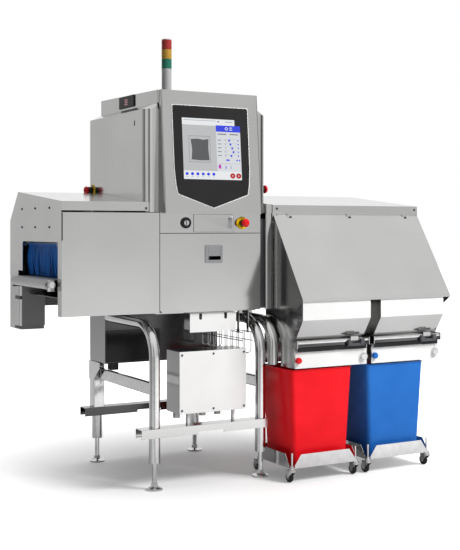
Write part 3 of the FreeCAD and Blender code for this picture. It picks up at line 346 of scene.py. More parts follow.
for name, bevel in sheetNodes.items():
    if name in whiteSheet:
        dressed(name, bevel, [whiteEnamel, halfShadeSteel], lidFinish)
    elif name == "floor_rails":
        dressed(name, bevel, [finish["brushed_stainless"], shadedSteel], railFinish)
    else:
        dressed(name, bevel)
for name in frame["nodes"]:
    if name.startswith("fork_"):
        dressed(name, forkBevel)


# The chutes have white enamelled fronts; below them are round polished rails, shaded strips and dark clamps
chute = {"low": 661.9, "lip": -603.0, "front": -600.0, "rights": (755.0, 1198.0)}
clamp = {"left": 125.0, "right": 29.0, "back": -545.0, "front": -556.0, "top": 657.0}
rail = {"y": -548.0, "z": 655.0, "reach": 10.5, "strip": 1.5}


def chuteFinish(spot, normal):
    if spot.z > chute["low"] and spot.y > chute["lip"]:
        return 1 if normal.y < facing["chute"] and spot.y < chute["front"] else 0
    inClamp = any(right - clamp["left"] < spot.x < right - clamp["right"] for right in chute["rights"])
    if inClamp and spot.y < clamp["back"] and (spot.y < clamp["front"] or spot.z > clamp["top"]):
        return 3
    if abs(spot.y - rail["y"]) < rail["reach"] and abs(spot.z - rail["z"]) < rail["reach"]:
        return 2
    return 4 if abs(spot.y - rail["y"]) < rail["strip"] else 0


latchFront = -344.05  # what stands out in front of the centre door's sheet is the latch's frame


def doorFinish(spot, normal):
    return 1 if spot.y < latchFront else 0


cabinet = {"glassBack": 184.9, "low": 517.0}


def cabinetFinish(spot, normal):
    # black glass in front, a dark casting colour on what lies below the low edge, and painted shade on what looks
    # forwards or down
    if spot.y < cabinet["glassBack"] and spot.z > cabinet["low"]:
        return 1
    if spot.z < cabinet["low"] - 0.1:
        return 2
    return 3 if normal.y < facing["cabinet"] or normal.z < facing["cabinet"] else 0


infeed = {"plateRight": -741.9, "wallLow": 915.0, "boxRight": -625.0, "boxFront": 195.0}


def infeedFinish(spot, normal):
    # bright end plate and walls, a corner box in painted shade and a pan in painted half shade
    if spot.x < infeed["plateRight"] or spot.z > infeed["wallLow"]:
        return 0
    inBox = spot.x < infeed["boxRight"] and spot.y > infeed["boxFront"]
    return 2 if inBox and normal.z < 0.5 else 1


chuteMaterials = [finish["brushed_stainless"], whiteEnamel, finish["polished_stainless"], darkCasting, shadedSteel]
dressed("reject_chutes", 0.0006, chuteMaterials, chuteFinish)
dressed("centre_door", 0.0009, [finish["brushed_stainless"], finish["latch_grey"]], doorFinish)
# the rear cabinet's other faces get steel in painted half shade
dressed("rear_cabinet", 0.0012, [halfShadeSteel, blackGlass, darkCasting, shadedSteel], cabinetFinish)
dressed("infeed_body", 0.0006, [finish["brushed_stainless"], halfShadeSteel, cornerShadeEnamel], infeedFinish)
print("sheet and tube pieces dressed")

# Emergency stops: a yellow disc, a black collar and a red mushroom cap
stop = {"bore": 0.0112, "disc": 0.030, "discThick": 0.003, "collar": 0.017, "collarLip": 0.0182, "collarEnd": 0.025,
        "cap": 0.020, "capEnd": 0.047}
stopPlaces = {
    "front": (at(166, -344, 1220), (0, -1, 0)),
    "left": (at(-320, 345, 1388), (-1, 0, 0)),
    "right": (at(333, -218, 1388), (1, 0, 0)),
}
disc = [(0, stop["bore"]), (0, stop["disc"]), (stop["discThick"] - 0.0008, stop["disc"]),
        (stop["discThick"], stop["disc"] - 0.0008), (stop["discThick"], stop["bore"])]
collar = [(stop["discThick"], stop["bore"]), (stop["discThick"], stop["collar"]), (0.018, stop["collar"]),
          (0.020, stop["collarLip"]), (stop["collarEnd"] - 0.001, stop["collarLip"]),
          (stop["collarEnd"], stop["collar"]), (stop["collarEnd"], stop["bore"])]
cap = [(0.006, 0.0), (0.006, 0.011), (0.031, 0.011), (0.031, stop["cap"] - 0.002), (0.033, stop["cap"]),
       (0.038, stop["cap"]), (0.043, stop["cap"] - 0.0035), (0.0462, stop["cap"] - 0.009),
       (stop["capEnd"], stop["cap"] - 0.015), (stop["capEnd"], 0.0)]
bases = []
for name, (place, out) in stopPlaces.items():
    bases += [(0, lathe(disc, place, out)), (1, lathe(collar, place, out))]
    button = piece("stopButton_" + name, closeForm("stop", lathe(cap, place, out)), "estop_" + name, "red_button",
                   finish["red_button"])
    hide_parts("estop_" + name)

# Key switch: black ring with a chromed barrel and key
key = {"place": at(-134, -344, 1220), "out": (0, -1, 0), "bore": 0.0131, "ring": 0.026, "barrel": 0.013}
ring = [(0, key["bore"]), (0, key["ring"]), (0.006, key["ring"]), (0.009, key["ring"] - 0.003), (0.009, key["bore"])]
bases.append((1, lathe(ring, key["place"], key["out"])))
basePiece = piece("switchBases", merge("bases", bases), "frame", "yellow_plastic", finish["yellow_plastic"],
                  blackCollar)
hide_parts("switch_bases")
barrel = [(-0.003, 0.0), (-0.003, key["barrel"]), (0.0105, key["barrel"]), (0.012, key["barrel"] - 0.0015),
          (0.012, 0.0)]
grip = slab(key["place"] + Vector((-0.003, -0.020, -0.011)), key["place"] + Vector((0.003, -0.011, 0.011)), 0.001)
keyMesh = merge("key", [(0, lathe(barrel, key["place"], key["out"])), (0, grip)])
keyPiece = piece("keyBarrel", keyMesh, "key_switch", "lock_chrome", finish["lock_chrome"])
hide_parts("key_switch")
print("switches made")

# Signal tower: grey pole, three ribbed lenses, flat cap
tower = {"x": -96, "y": -60, "foot": 1843, "poleTop": 1973, "lens": 47, "ribs": 6, "ribPitch": 0.007,
         "core": 0.0235, "groove": 0.0242, "rib": 0.0248}
lenses = [lampLens("greenLens", "#237864", "#19604f"), lampLens("amberLens", "#c0973c", "#a67e2c"),
          lampLens("redLens", "#ab3230", "#8c2422")]  # from the lowest
pole = [(0.0, 0.0), (0.0, tower["core"]), (0.004, tower["core"]), (0.0045, 0.024), (0.121, 0.024),
        (0.123, 0.0245), (0.130, 0.0245), (0.130, 0.0)]
lens = [(0.0, 0.0), (0.0, tower["core"]), (0.001, tower["rib"])]
for i in range(tower["ribs"]):
    base = 0.003 + i * tower["ribPitch"]
    lens += [(base, tower["groove"]), (base + 0.0015, tower["rib"]), (base + 0.0055, tower["rib"])]
lens += [(0.0455, tower["groove"]), (0.0465, tower["core"]), (0.047, tower["core"] - 0.001), (0.047, 0.0)]
lid = [(0, 0), (0, tower["core"]), (0.003, tower["core"]), (0.0046, 0.021), (0.005, 0.0)]
stack = [(0, pole, tower["foot"])]
stack += [(1 + i, lens, tower["poleTop"] + i * tower["lens"]) for i in range(len(lenses))]
stack.append((0, lid, tower["poleTop"] + len(lenses) * tower["lens"]))
towerForms = [(index, lathe(profile, at(tower["x"], tower["y"], z), (0, 0, 1))) for index, profile, z in stack]
towerPiece = piece("signalLamps", merge("tower", towerForms), "frame", "tower_grey", finish["tower_grey"], *lenses)
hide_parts("signal_tower")

# Casters: rubber tyre on a grey hub with a bearing boss each side
wheel = {"radius": 0.025, "tread": 0.018, "hub": 0.013, "dish": 0.002, "boss": 0.0055, "bore": 0.0031}


def bothSides(profile):
    return [(-along, radius) for along, radius in profile] + profile[::-1]


half = wheel["tread"] / 2
tyre = bothSides([(half, wheel["hub"]), (half, wheel["radius"] - 0.004), (half - 0.002, wheel["radius"] - 0.0012),
                  (half - 0.005, wheel["radius"])])
hub = bothSides([(half, wheel["hub"]), (half - wheel["dish"], wheel["hub"] - 0.001),
                 (half - wheel["dish"], wheel["boss"] + 0.0005), (half, wheel["boss"]), (half, wheel["bore"])])
for name in frame["nodes"]:
    if name.startswith("wheel_"):
        low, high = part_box(name)
        middle = (low + high) / 2
        mesh = merge("wheel", [(0, lathe(tyre, middle, (1, 0, 0), 48)), (1, lathe(hub, middle, (1, 0, 0), 32))])
        made = piece(name.replace("wheel_", "casterWheel_"), mesh, bodyOf[name], "wheel_rubber",
                     finish["wheel_rubber"], finish["latch_grey"])
        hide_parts(name)
print("tower and casters made")

# The leaning screen: black panel with a white rim that paints the highlight on its edge, glass, and a generic
# inspection page
bezel = {"bottomY": -373.0, "bottomZ": 1263.0, "topY": -325.0, "topZ": 1836.0, "panel": 5.0, "glass": 1.5}
lean = math.atan2(bezel["topY"] - bezel["bottomY"], bezel["topZ"] - bezel["bottomZ"])


def onBezel(x, up, out):
    return at(x, bezel["bottomY"] + up * math.sin(lean) - out * math.cos(lean),
              bezel["bottomZ"] + up * math.cos(lean) + out * math.sin(lean))


def bezelPlate(outline, low, high):
    form = bmesh.new()
    count = len(outline)
    back = [form.verts.new(onBezel(x, up, low)) for x, up in outline]
    front = [form.verts.new(onBezel(x, up, high)) for x, up in outline]
    form.faces.new(back)
    form.faces.new(front)
    for i in range(count):
        j = (i + 1) % count
        form.faces.new([back[i], back[j], front[j], front[i]])
    bmesh.ops.recalc_face_normals(form, faces=form.faces)
    return form


def roundedOutline(points, radius, steps=5):
    outline = []
    for i, corner in enumerate(points):
        before = Vector(points[i - 1])
        after = Vector(points[(i + 1) % len(points)])
        here = Vector(corner)
        into = (here - before).normalized()
        out = (after - here).normalized()
        turn = into.angle(out)
        back = min(radius * math.tan(turn / 2), radius)
        start, end = here - into * back, here + out * back
        for k in range(steps + 1):
            t = k / steps
            outline.append(tuple(start * (1 - t) ** 2 + here * 2 * t * (1 - t) + end * t * t))
    return outline


panelHalf = [(199, 505), (198, 211), (192, 135), (184, 92)]
panelOutline = panelHalf + [(0, 28)] + [(-x, up) for x, up in panelHalf[::-1]]
# a white outline behind the panel paints the highlight along its rim
rimHighlight = {"wider": 1.02, "taller": 3.5, "out": 3.2}
panelTop = panelHalf[0][1]
rimHighlightOutline = [(x * rimHighlight["wider"], up + (rimHighlight["taller"] if up == panelTop else -rimHighlight["taller"])) for x, up in panelOutline]
screen = {"half": 154, "low": 160, "high": 447}
glassOutline = [(screen["half"], screen["high"]), (screen["half"], screen["low"]),
                (-screen["half"], screen["low"]), (-screen["half"], screen["high"])]
glassTop = bezel["panel"] + bezel["glass"]
readout = {"low": (-264, -41, 1784), "high": (-258, 137, 1842), "firstMark": (-264.3, 38, 1801),
           "markGap": (20, 11), "markHalf": (0.006, 0.0035)}  # the small display on the head's left side
plates = [(0, bezelPlate(roundedOutline(panelOutline, 9.0), 0.3, bezel["panel"])),
          (1, bezelPlate(roundedOutline(rimHighlightOutline, 10.0), 0.0, rimHighlight["out"])),
          (0, bezelPlate(roundedOutline(glassOutline, 2.0), bezel["panel"], glassTop)),
          (0, slab(at(*readout["low"]), at(*readout["high"]), 0.0015))]
screenPiece = piece("screenPanel", merge("panel", plates), "frame", "black_panel", finish["black_panel"],
                    whiteEnamel)
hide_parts("displays")

inks = {
    "white": screenInk("screenWhite", "#f4f6f8"), "grey": screenInk("screenGrey", "#c6c7c8"),
    "pale": screenInk("screenPale", "#e3e6ea"), "blue": screenInk("screenBlue", "#2a41ea"),
    "dark": screenInk("screenDark", "#5a5b5c"), "frame": screenInk("screenFrame", "#a9aaab"),
    "magenta": screenInk("screenMagenta", "#c83cc0"), "red": screenInk("screenRed", "#c01f24"),
    "line": screenInk("screenLine", "#9ba3b5"), "rose": screenInk("readoutRose", "#c88e92", 0.7),
}
inkNames = list(inks)


def pageSpot(fx, fy, out):
    return onBezel(screen["half"] * (2 * fx - 1), screen["high"] - (screen["high"] - screen["low"]) * fy, out)


def pagePatch(form, ink, points, level):
    out = glassTop + pageStep * (level + 1)
    face = form.faces.new([form.verts.new(pageSpot(fx, fy, out)) for fx, fy in points])
    face.material_index = inkNames.index(ink)


pageStep = 0.15  # each level of the page lies this far in front of the one below
# ink, left, top, right, bottom and level of each rectangle, in shares of the page
rects = [
    ("white", 0.0, 0.0, 0.905, 0.11, 0), ("grey", 0.0, 0.11, 0.575, 0.86, 0),
    ("pale", 0.575, 0.10, 1.0, 0.86, 0), ("white", 0.0, 0.86, 1.0, 1.0, 0),
    ("line", 0.03, 0.028, 0.58, 0.036, 1), ("line", 0.60, 0.028, 0.64, 0.052, 1),
    ("line", 0.74, 0.034, 0.87, 0.046, 1), ("blue", 0.575, 0.10, 1.0, 0.205, 1),
    ("white", 0.81, 0.128, 0.86, 0.142, 2), ("white", 0.81, 0.162, 0.86, 0.176, 2),
    ("frame", 0.10, 0.285, 0.47, 0.725, 1), ("grey", 0.112, 0.30, 0.458, 0.71, 2),
    ("dark", 0.60, 0.237, 0.755, 0.252, 1), ("dark", 0.815, 0.237, 0.965, 0.252, 1),
    ("blue", 0.735, 0.66, 0.795, 0.685, 1), ("blue", 0.915, 0.66, 0.94, 0.685, 1),
    ("blue", 0.96, 0.66, 0.98, 0.685, 1), ("frame", 0.60, 0.73, 0.98, 0.734, 1),
    ("magenta", 0.60, 0.75, 0.645, 0.815, 1), ("blue", 0.72, 0.77, 0.735, 0.82, 1),
    ("line", 0.81, 0.76, 0.822, 0.82, 1),
]
sliders = [0.80, 0.82, 0.85, 0.87, 0.83]
for i, mark in enumerate(sliders):
    y = 0.345 + i * 0.064
    rects += [("dark", 0.60, y - 0.007, 0.66, y + 0.005, 1), ("line", 0.70, y - 0.024, 0.93, y - 0.021, 1),
              ("frame", 0.72, y - 0.010, 0.745, y + 0.008, 1), ("blue", 0.945, y - 0.014, 0.965, y + 0.008, 1),
              ("blue", mark - 0.016, y - 0.016, mark + 0.016, y + 0.016, 1)]
# ink, place, radius, level and number of corners of each disc
discs = [("white", 0.76, 0.152, 0.028, 2, 20), ("blue", 0.76, 0.152, 0.017, 3, 20)]
for i in range(6):
    x = 0.055 + i * 0.091
    discs.append(("blue", x, 0.912, 0.028, 1, 6 + i % 3))
    rects.append(("line", x - 0.018, 0.955, x + 0.018, 0.962, 1))
for x in (0.84, 0.945):
    discs += [("red", x, 0.932, 0.046, 1, 20), ("white", x, 0.932, 0.010, 2, 12)]
bag = [(0.135, 0.345), (0.25, 0.335), (0.35, 0.35), (0.44, 0.335), (0.432, 0.5), (0.447, 0.685), (0.30, 0.69),
       (0.14, 0.68), (0.155, 0.52)]
page = bmesh.new()
for ink, left, top, right, bottom, level in rects:
    pagePatch(page, ink, [(left, bottom), (right, bottom), (right, top), (left, top)], level)
for ink, x, y, radius, level, count in discs:
    angles = [-2 * math.pi * i / count for i in range(count)]
    pagePatch(page, ink, [(x + radius * math.cos(a), y + radius * 0.96 * math.sin(a)) for a in angles], level)
pagePatch(page, "dark", bag[::-1], 3)
piece("inspectionPage", closeForm("page", page), "frame", "black_panel", *inks.values())

sideGlow = bmesh.new()
halfY, halfZ = readout["markHalf"]
for row in range(3):
    for column in range(2):
        x, y, z = readout["firstMark"]
        middle = at(x, y + column * readout["markGap"][0], z + row * readout["markGap"][1])
        corners = [middle + Vector((0, halfY, -halfZ)), middle + Vector((0, -halfY, -halfZ)),
                   middle + Vector((0, -halfY, halfZ)), middle + Vector((0, halfY, halfZ))]
        face = sideGlow.faces.new([sideGlow.verts.new(corner) for corner in corners])
        face.material_index = inkNames.index("rose")
piece("sideReadout", closeForm("side", sideGlow), "frame", "black_panel", *inks.values())
print("screen made")


# Screws, set out by Geometry Nodes
def screwTree(material):
    tree = bpy.data.node_groups.new("screwHeads", "GeometryNodeTree")
    face = tree.interface
    face.new_socket("Geometry", in_out="INPUT", socket_type="NodeSocketGeometry")
    for label, value in (("Head radius", 0.006), ("Head height", 0.003), ("Socket radius", 0.003)):
        socket = face.new_socket(label, in_out="INPUT", socket_type="NodeSocketFloat")
        socket.default_value = value
    face.new_socket("Facing", in_out="INPUT", socket_type="NodeSocketVector")
    face.new_socket("Geometry", in_out="OUTPUT", socket_type="NodeSocketGeometry")
    start = tree.nodes.new("NodeGroupInput").outputs
    head = addNode(tree, "GeometryNodeMeshCone", {"Vertices": 20}, {
        "Radius Bottom": start["Head radius"], "Depth": start["Head height"]})
    narrow = addNode(tree, "ShaderNodeMath", {"operation": "MULTIPLY", 1: 0.82}, {0: start["Head radius"]})
    tree.links.new(narrow.outputs[0], head.inputs["Radius Top"])
    hole = addNode(tree, "GeometryNodeMeshCylinder", {"Vertices": 6}, {
        "Radius": start["Socket radius"], "Depth": start["Head height"]})
    lift = addNode(tree, "ShaderNodeCombineXYZ", {}, {"Z": start["Head height"]})
    raised = addNode(tree, "GeometryNodeTransform", {}, {
        "Geometry": hole.outputs["Mesh"], "Translation": lift.outputs[0]})
    cut = addNode(tree, "GeometryNodeMeshBoolean", {"operation": "DIFFERENCE"}, {"Mesh 1": head.outputs["Mesh"]})
    tree.links.new(raised.outputs[0], cut.inputs["Mesh 2"])
    turn = addNode(tree, "FunctionNodeAlignRotationToVector", {"axis": "Z"}, {"Vector": start["Facing"]})
    spots = addNode(tree, "GeometryNodeMeshToPoints", {}, {"Mesh": start["Geometry"]})
    copies = addNode(tree, "GeometryNodeInstanceOnPoints", {}, {
        "Points": spots.outputs[0], "Instance": cut.outputs["Mesh"], "Rotation": turn.outputs[0]})
    real = addNode(tree, "GeometryNodeRealizeInstances", {}, {"Geometry": copies.outputs[0]})
    coloured = addNode(tree, "GeometryNodeSetMaterial", {"Material": material}, {"Geometry": real.outputs[0]})
    end = tree.nodes.new("NodeGroupOutput")
    tree.links.new(coloured.outputs[0], end.inputs[0])
    return tree


def throughTree(name, mesh, tree, values):
    carrier = bpy.data.objects.new(name + "Points", mesh)
    bpy.context.scene.collection.objects.link(carrier)
    step = carrier.modifiers.new("grow", "NODES")
    step.node_group = tree
    for item in tree.interface.items_tree:
        if item.item_type == "SOCKET" and item.in_out == "INPUT" and item.name in values:
            step[item.identifier] = values[item.name]
    bpy.context.view_layer.update()
    ready = carrier.evaluated_get(bpy.context.evaluated_depsgraph_get())
    made = bpy.data.meshes.new_from_object(ready)
    bpy.data.objects.remove(carrier)
    return made


def pointMesh(name, places):
    mesh = bpy.data.meshes.new(name)
    mesh.from_pydata([tuple(p) for p in places], [], [])
    return mesh


screws = screwTree(darkCasting)
screwLook = {"height": 0.003, "socket": 0.45}
screwRows = {
    "endPlateScrews": ((-1, 0, 0), 0.006, [(-745, y, z) for y in (-197, -2, 189) for z in (1287, 1200)]),
    "coverLipScrews": ((0, -1, 0), 0.0065, [(-336, -344, 1286), (362, -344, 1290), (1205, -344, 1290)]),
    "controlBoxScrews": ((0, -1, 0), 0.0055, [(x, -368, z) for x in (-165, 0, 163) for z in (352, 608)]),
    "backPanelScrews": ((0, 1, 0), 0.0055, [
        (x, 388, z) for x in (-290, -97, 97, 290) for z in (630, 930, 1240)]),
}
for name, (towards, radius, places) in screwRows.items():
    grown = throughTree(name, pointMesh(name, [at(*place) for place in places]), screws, {
        "Head radius": radius, "Head height": screwLook["height"], "Socket radius": radius * screwLook["socket"],
        "Facing": towards})
    piece(name, smoothed(grown), "frame", "polished_stainless")
print("screws set")

# Infeed curtain: soft strips on a rod, each with its own wave
curtain = {"x": -712, "first": -284, "pitch": 15.5, "width": 14.8, "count": 30, "top": 1126, "low": 974,
           "thick": 0.0016, "bow": 9.0, "swing": 6.0, "wave": 2.0, "columns": 4, "rows": 12}
draw = random.Random(11)
strips = bmesh.new()
for i in range(curtain["count"]):
    phase = draw.uniform(0, 6.3)
    swing = draw.uniform(-curtain["swing"], curtain["swing"])
    left = curtain["first"] + i * curtain["pitch"]
    grid = []
    for row in range(curtain["rows"] + 1):
        down = row / curtain["rows"]
        z = curtain["top"] - down * (curtain["top"] - curtain["low"])
        line = []
        for column in range(curtain["columns"] + 1):
            across = column / curtain["columns"]
            wave = curtain["wave"] * math.sin(across * 3.1 + phase) * (0.3 + down) + swing * down * down
            wave -= curtain["bow"] * math.sin(math.pi * down)
            line.append(strips.verts.new(at(curtain["x"] + wave, left + across * curtain["width"], z)))
        grid.append(line)
    for upper, lower in zip(grid, grid[1:]):
        for c in range(curtain["columns"]):
            strips.faces.new([upper[c], upper[c + 1], lower[c + 1], lower[c]])
bmesh.ops.recalc_face_normals(strips, faces=strips.faces)
bmesh.ops.solidify(strips, geom=strips.faces[:], thickness=curtain["thick"])
header = slab(at(-716, -284, 1114), at(-708, 180, 1127), 0.001)
rodStart = at(curtain["x"], -292, curtain["top"])
rod = lathe([(0, 0), (0, 0.004), (0.488, 0.004), (0.488, 0)], rodStart, (0, 1, 0), 24)
curtainPiece = piece("curtainStrips", merge("curtain", [(0, strips), (0, header), (1, rod)]), "infeed_curtain",
                     "blue_curtain", finish["blue_curtain"], finish["polished_stainless"])
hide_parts("infeed_curtain")

# Gates: white fronts, a round coloured knob and a chromed lock
gate = {"front": -538.0, "low": 533, "high": 609, "width": 410, "knobIn": 14.5, "lockIn": 20.5}
gateLefts = {"red": 345.0, "blue": 788.0}
knobColours = {"red": "red_button", "blue": "blue_bin"}
knobShape = [(-0.012, 0.0146), (0.0, 0.0146), (0.003, 0.0130), (0.0045, 0.009), (0.005, 0.0)]
lockShape = [(-0.014, 0.0175), (0.0, 0.0175), (0.002, 0.016), (0.002, 0.010), (0.001, 0.009), (0.001, 0.0)]
for name, left in gateLefts.items():
    dressed("gate_" + name, 0.0007, [whiteEnamel])
    middle = (gate["low"] + gate["high"]) / 2
    knob = lathe(knobShape, at(left + gate["knobIn"], gate["front"] - 12.0, middle), (0, -1, 0))
    lock = lathe(lockShape, at(left + gate["width"] - gate["lockIn"], gate["front"] - 14.0, middle), (0, -1, 0))
    piece("gateKnob_" + name, merge("knob", [(0, knob), (1, lock)]), "gate_" + name, "brushed_stainless",
          finish[knobColours[name]], finish["lock_chrome"])
print("gates and curtain made")

# Black strips in the seams round the doors and the port flap paint the shade of the gaps
seamShades = {
    "door": ((-268.3, -341, 806), (-265.7, -322, 1266)),
    "band": ((-264, -341, 1170.2), (267, -322, 1172.8)),
    "flapLeft": ((-93.9, -342.4, 1177.1), (-92.1, -338, 1260.9)),
    "flapRight": ((119.1, -342.4, 1177.1), (119.9, -338, 1260.9)),
    "flapTop": ((-92, -342.4, 1260.1), (119, -338, 1260.9)),
}
seamShadeForms = [(0, slab(at(*low), at(*high))) for low, high in seamShades.values()]
piece("seamShadeStrips", merge("seamShades", seamShadeForms), "frame", "wheel_rubber", finish["wheel_rubber"])
# One more runs down the infeed door's left edge and moves with the door
doorLow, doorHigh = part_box("infeed_door")
doorShadeStrip = slab((doorLow.x + 0.0005, doorLow.y - 0.0003, at(0, 0, 1142).z),
                (doorLow.x + 0.0050, doorLow.y + 0.0010, doorHigh.z - 0.002), 0.0001)
piece("infeedDoorShadeStrip", closeForm("doorShadeStrip", doorShadeStrip), "infeed_door", "wheel_rubber", finish["wheel_rubber"])

# Black strips in the gap between the chutes' rails and the gates paint its shade
gateGapShade = [(0, slab(at(left + 6, -549, 612), at(left + 402, -547.5, 634), 0.0004)) for left in gateLefts.values()]
piece("gateGapShadeStrips", merge("gateGapShade", gateGapShade), "frame", "wheel_rubber", finish["wheel_rubber"])

# A dark sheet paints the shade in the gap between centre and reject section, and two clamps hold the infeed's corner
# box
gapShadeAndClampSlabs = [slab(at(270, -322, 812), at(335, -318, 1240), 0.0004),
             slab(at(-748, 208, 852), at(-745, 285, 868), 0.0006),
             slab(at(-748, 205, 710), at(-745, 290, 722), 0.0006)]
piece("gapShadeAndClamps", merge("gapShade", [(0, form) for form in gapShadeAndClampSlabs]), "frame", "grey_paint", darkCasting)
# A grey patch on the port flap paints the shade of its finger slot
fingerSlotShade = slab(at(90, -344.4, 1194), at(110, -343.6, 1245), 0.0002)
piece("flapFingerSlotShade", closeForm("slot", fingerSlotShade), "port_flap", "latch_grey", finish["latch_grey"])
print("seals and small covers made")

# Studio: pale floor, white background, soft lights
floorMesh = bpy.data.meshes.new("studioFloor")
floorMesh.from_pydata([(-22, -22, 0), (22, -22, 0), (22, 22, 0), (-22, 22, 0)], [], [(0, 1, 2, 3)])
floor = bpy.data.objects.new("studioFloor", floorMesh)
bpy.context.scene.collection.objects.link(floor)
floorLook = {"colour": "#ececec", "lift": 0.12, "farLift": 1.0, "from": 0.3, "to": 2.1}
mirrorShare = 0.95  # how much of the backdrop's lift metal and glass see
floorMaterial, floorTree, floorShader = newMaterial("paleFloor", Roughness=0.6, Specular_IOR_Level=0.2)


def backdropRays(tree, share):
    # camera, mirror and glass rays see the backdrop; the light on the object comes from the rest
    rays = addNode(tree, "ShaderNodeLightPath").outputs
    mirror = addNode(tree, "ShaderNodeMath", {"operation": "MAXIMUM"},
                     {0: rays["Is Glossy Ray"], 1: rays["Is Transmission Ray"]})
    part = addNode(tree, "ShaderNodeMath", {"operation": "MULTIPLY", 1: share}, {0: mirror.outputs[0]})
    whole = addNode(tree, "ShaderNodeMath", {"operation": "MAXIMUM"},
                    {0: rays["Is Camera Ray"], 1: part.outputs[0]})
    return whole.outputs[0]


def fade(tree, value, low, high, stops):
    # a colour that goes through the stops as the value goes from low to high
    spread = addNode(tree, "ShaderNodeMapRange", {"From Min": low, "From Max": high}, {"Value": value})
    return ramp(tree, spread.outputs[0], stops)


cardRing = [
    (0.0, "#7a7a7a"), (0.03, "#a8a8a8"), (0.06, "#e6e6e6"), (0.115, "#e0e0e0"), (0.14, "#787878"),
    (0.16, "#484848"), (0.2, "#ffffff"), (0.27, "#e2e2e2"), (0.38, "#e2e2e2"), (0.43, "#909090"),
    (0.47, "#2c2c2c"), (0.505, "#343434"), (0.53, "#e0e0e0"), (0.58, "#e8e8e8"), (0.6, "#3c3c3c"),
    (0.615, "#3c3c3c"), (0.635, "#ffffff"), (0.72, "#ffffff"), (0.735, "#303030"), (0.77, "#3a3a3a"),
    (0.79, "#d6d6d6"), (0.88, "#d6d6d6"), (0.94, "#a0a0a0"), (1.0, "#7a7a7a"),
]


def studioCards(tree, along, across):
    # what metal mirrors, by the compass: flat sheet sees the pale cards, only round pieces the narrow dark ones
    around = addNode(tree, "ShaderNodeMath", {"operation": "ARCTAN2"}, {0: across, 1: along})
    return fade(tree, around.outputs[0], -math.pi, math.pi, cardRing)


# The floor is lifted to white with the distance from the machine, so that only its own shadow shows
spot = addNode(floorTree, "ShaderNodeTexCoord").outputs["Object"]
away = addNode(floorTree, "ShaderNodeVectorMath", {"operation": "LENGTH"}, {0: spot}).outputs["Value"]
lift = addNode(floorTree, "ShaderNodeMapRange", {
    "interpolation_type": "SMOOTHSTEP", "From Min": floorLook["from"], "From Max": floorLook["to"],
    "To Min": floorLook["lift"], "To Max": floorLook["farLift"]}, {"Value": away})
seen = addNode(floorTree, "ShaderNodeMath", {"operation": "MULTIPLY"},
               {0: lift.outputs[0], 1: backdropRays(floorTree, mirrorShare)})
floorTree.links.new(seen.outputs[0], floorShader.inputs["Emission Strength"])
# Metal sees a floor that is darker towards the machine's left
ground = addNode(floorTree, "ShaderNodeSeparateXYZ", links={0: spot}).outputs
mirrorRay = addNode(floorTree, "ShaderNodeLightPath").outputs["Is Glossy Ray"]
floorCards = studioCards(floorTree, ground["X"], ground["Y"])
cardShade = fade(floorTree, ground["X"], -6.0, 1.0, [(0.0, "#c4c4c4"), (0.7, "#d4d4d4"), (1.0, "#ffffff")])
shadedCards = addNode(floorTree, "ShaderNodeMix", {"data_type": "RGBA", "blend_type": "MULTIPLY", 0: 1.0},
                      {6: floorCards, 7: cardShade})
glow = addNode(floorTree, "ShaderNodeMix", {"data_type": "RGBA", 6: (1, 1, 1, 1)},
               {0: mirrorRay, 7: shadedCards.outputs[2]})
floorTree.links.new(glow.outputs[2], floorShader.inputs["Emission Color"])
paintShade = fade(floorTree, ground["X"], -4.0, 0.0, [(0.0, "#7c7c7c"), (0.55, "#a0a0a0"), (1.0, "#cccccc")])
paint = addNode(floorTree, "ShaderNodeMix", {"data_type": "RGBA", 6: linear(floorLook["colour"])},
                {0: mirrorRay, 7: paintShade})
floorTree.links.new(paint.outputs[2], floorShader.inputs["Base Color"])
floor.data.materials.append(floorMaterial)

# The sky lights the machine from the right, shows white to the camera and the cards to metal
skyLook = {"tones": [(0.0, "#a8a8a8"), (0.3, "#bcbcbc"), (0.7, "#dcdcdc"), (1.0, "#efefef")],
           "leftStrength": 0.08, "rightStrength": 0.62}
world = bpy.data.worlds.new("studio")
bpy.context.scene.world = world
world.use_nodes = True
sky = world.node_tree
sky.nodes.clear()
direction = addNode(sky, "ShaderNodeTexCoord").outputs["Generated"]
split = addNode(sky, "ShaderNodeSeparateXYZ", links={0: direction}).outputs
shade = fade(sky, split["Z"], -0.2, 1.0, skyLook["tones"])
sideways = addNode(sky, "ShaderNodeMapRange", {
    "From Min": -0.9, "From Max": 0.3, "To Min": skyLook["leftStrength"], "To Max": skyLook["rightStrength"]},
    {"Value": split["X"]})
light = addNode(sky, "ShaderNodeBackground", links={"Color": shade, "Strength": sideways.outputs[0]})
skyCards = studioCards(sky, split["X"], split["Y"])
above = addNode(sky, "ShaderNodeMapRange", {
    "interpolation_type": "SMOOTHSTEP", "From Min": 0.2, "From Max": 0.7}, {"Value": split["Z"]})
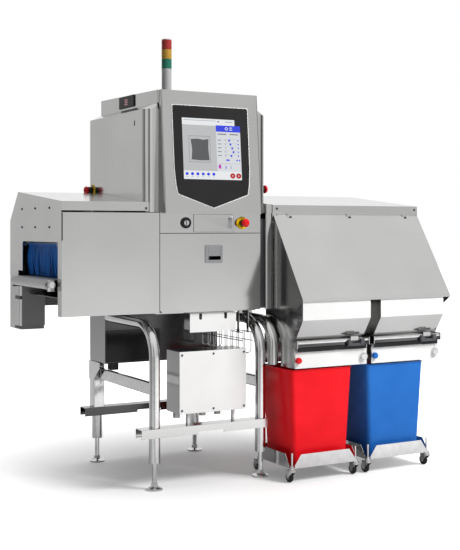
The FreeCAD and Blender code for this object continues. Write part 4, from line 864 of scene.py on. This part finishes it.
mirrored = addNode(sky, "ShaderNodeMix", {"data_type": "RGBA", 7: (1, 1, 1, 1)},
                   {0: above.outputs[0], 6: skyCards})
cameraRay = addNode(sky, "ShaderNodeLightPath").outputs["Is Camera Ray"]
backdrop = addNode(sky, "ShaderNodeMix", {"data_type": "RGBA", 7: (1, 1, 1, 1)},
                   {0: cameraRay, 6: mirrored.outputs[2]})
white = addNode(sky, "ShaderNodeBackground", {"Strength": 1.0}, {"Color": backdrop.outputs[2]})
mixed = addNode(sky, "ShaderNodeMixShader",
                links={0: backdropRays(sky, 1.0), 1: light.outputs[0], 2: white.outputs[0]})
addNode(sky, "ShaderNodeOutputWorld", links={0: mixed.outputs[0]})

lamps = {
    "keySoftbox": {"place": (2.7, -3.7, 4.7), "size": 2.2, "power": 235},
    "fillSoftbox": {"place": (-4.6, -3.0, 2.4), "size": 2.6, "power": 5},
    "topSoftbox": {"place": (0.2, 0.6, 5.4), "size": 3.6, "power": 55},
}
for name, look in lamps.items():
    lamp = bpy.data.lights.new(name, "AREA")
    lamp.size = look["size"]
    lamp.energy = look["power"]
    lamp.spread = math.radians(150)
    holder = bpy.data.objects.new(name, lamp)
    holder.location = look["place"]
    holder.rotation_euler = (Vector((0, 0, 1.0)) - Vector(look["place"])).to_track_quat("-Z", "Y").to_euler()
    holder.visible_glossy = False  # metal mirrors the backdrop, not the lamps
    bpy.context.scene.collection.objects.link(holder)

view = {"place": at(-2400, -4856, 1200), "forward": Vector((0.485, 0.875, 0)), "lens": 71.1, "shift": -0.087}
camera = bpy.data.cameras.new("photoCamera")
camera.lens = view["lens"]
camera.sensor_width = 36.0
camera.sensor_fit = "AUTO"
camera.shift_y = view["shift"]
camera.clip_end = 100.0
eye = bpy.data.objects.new("photoCamera", camera)
eye.location = view["place"]
eye.rotation_euler = view["forward"].to_track_quat("-Z", "Y").to_euler()
bpy.context.scene.collection.objects.link(eye)
bpy.context.scene.camera = eye
bpy.context.scene.view_settings.view_transform = "Standard"
print("studio set")
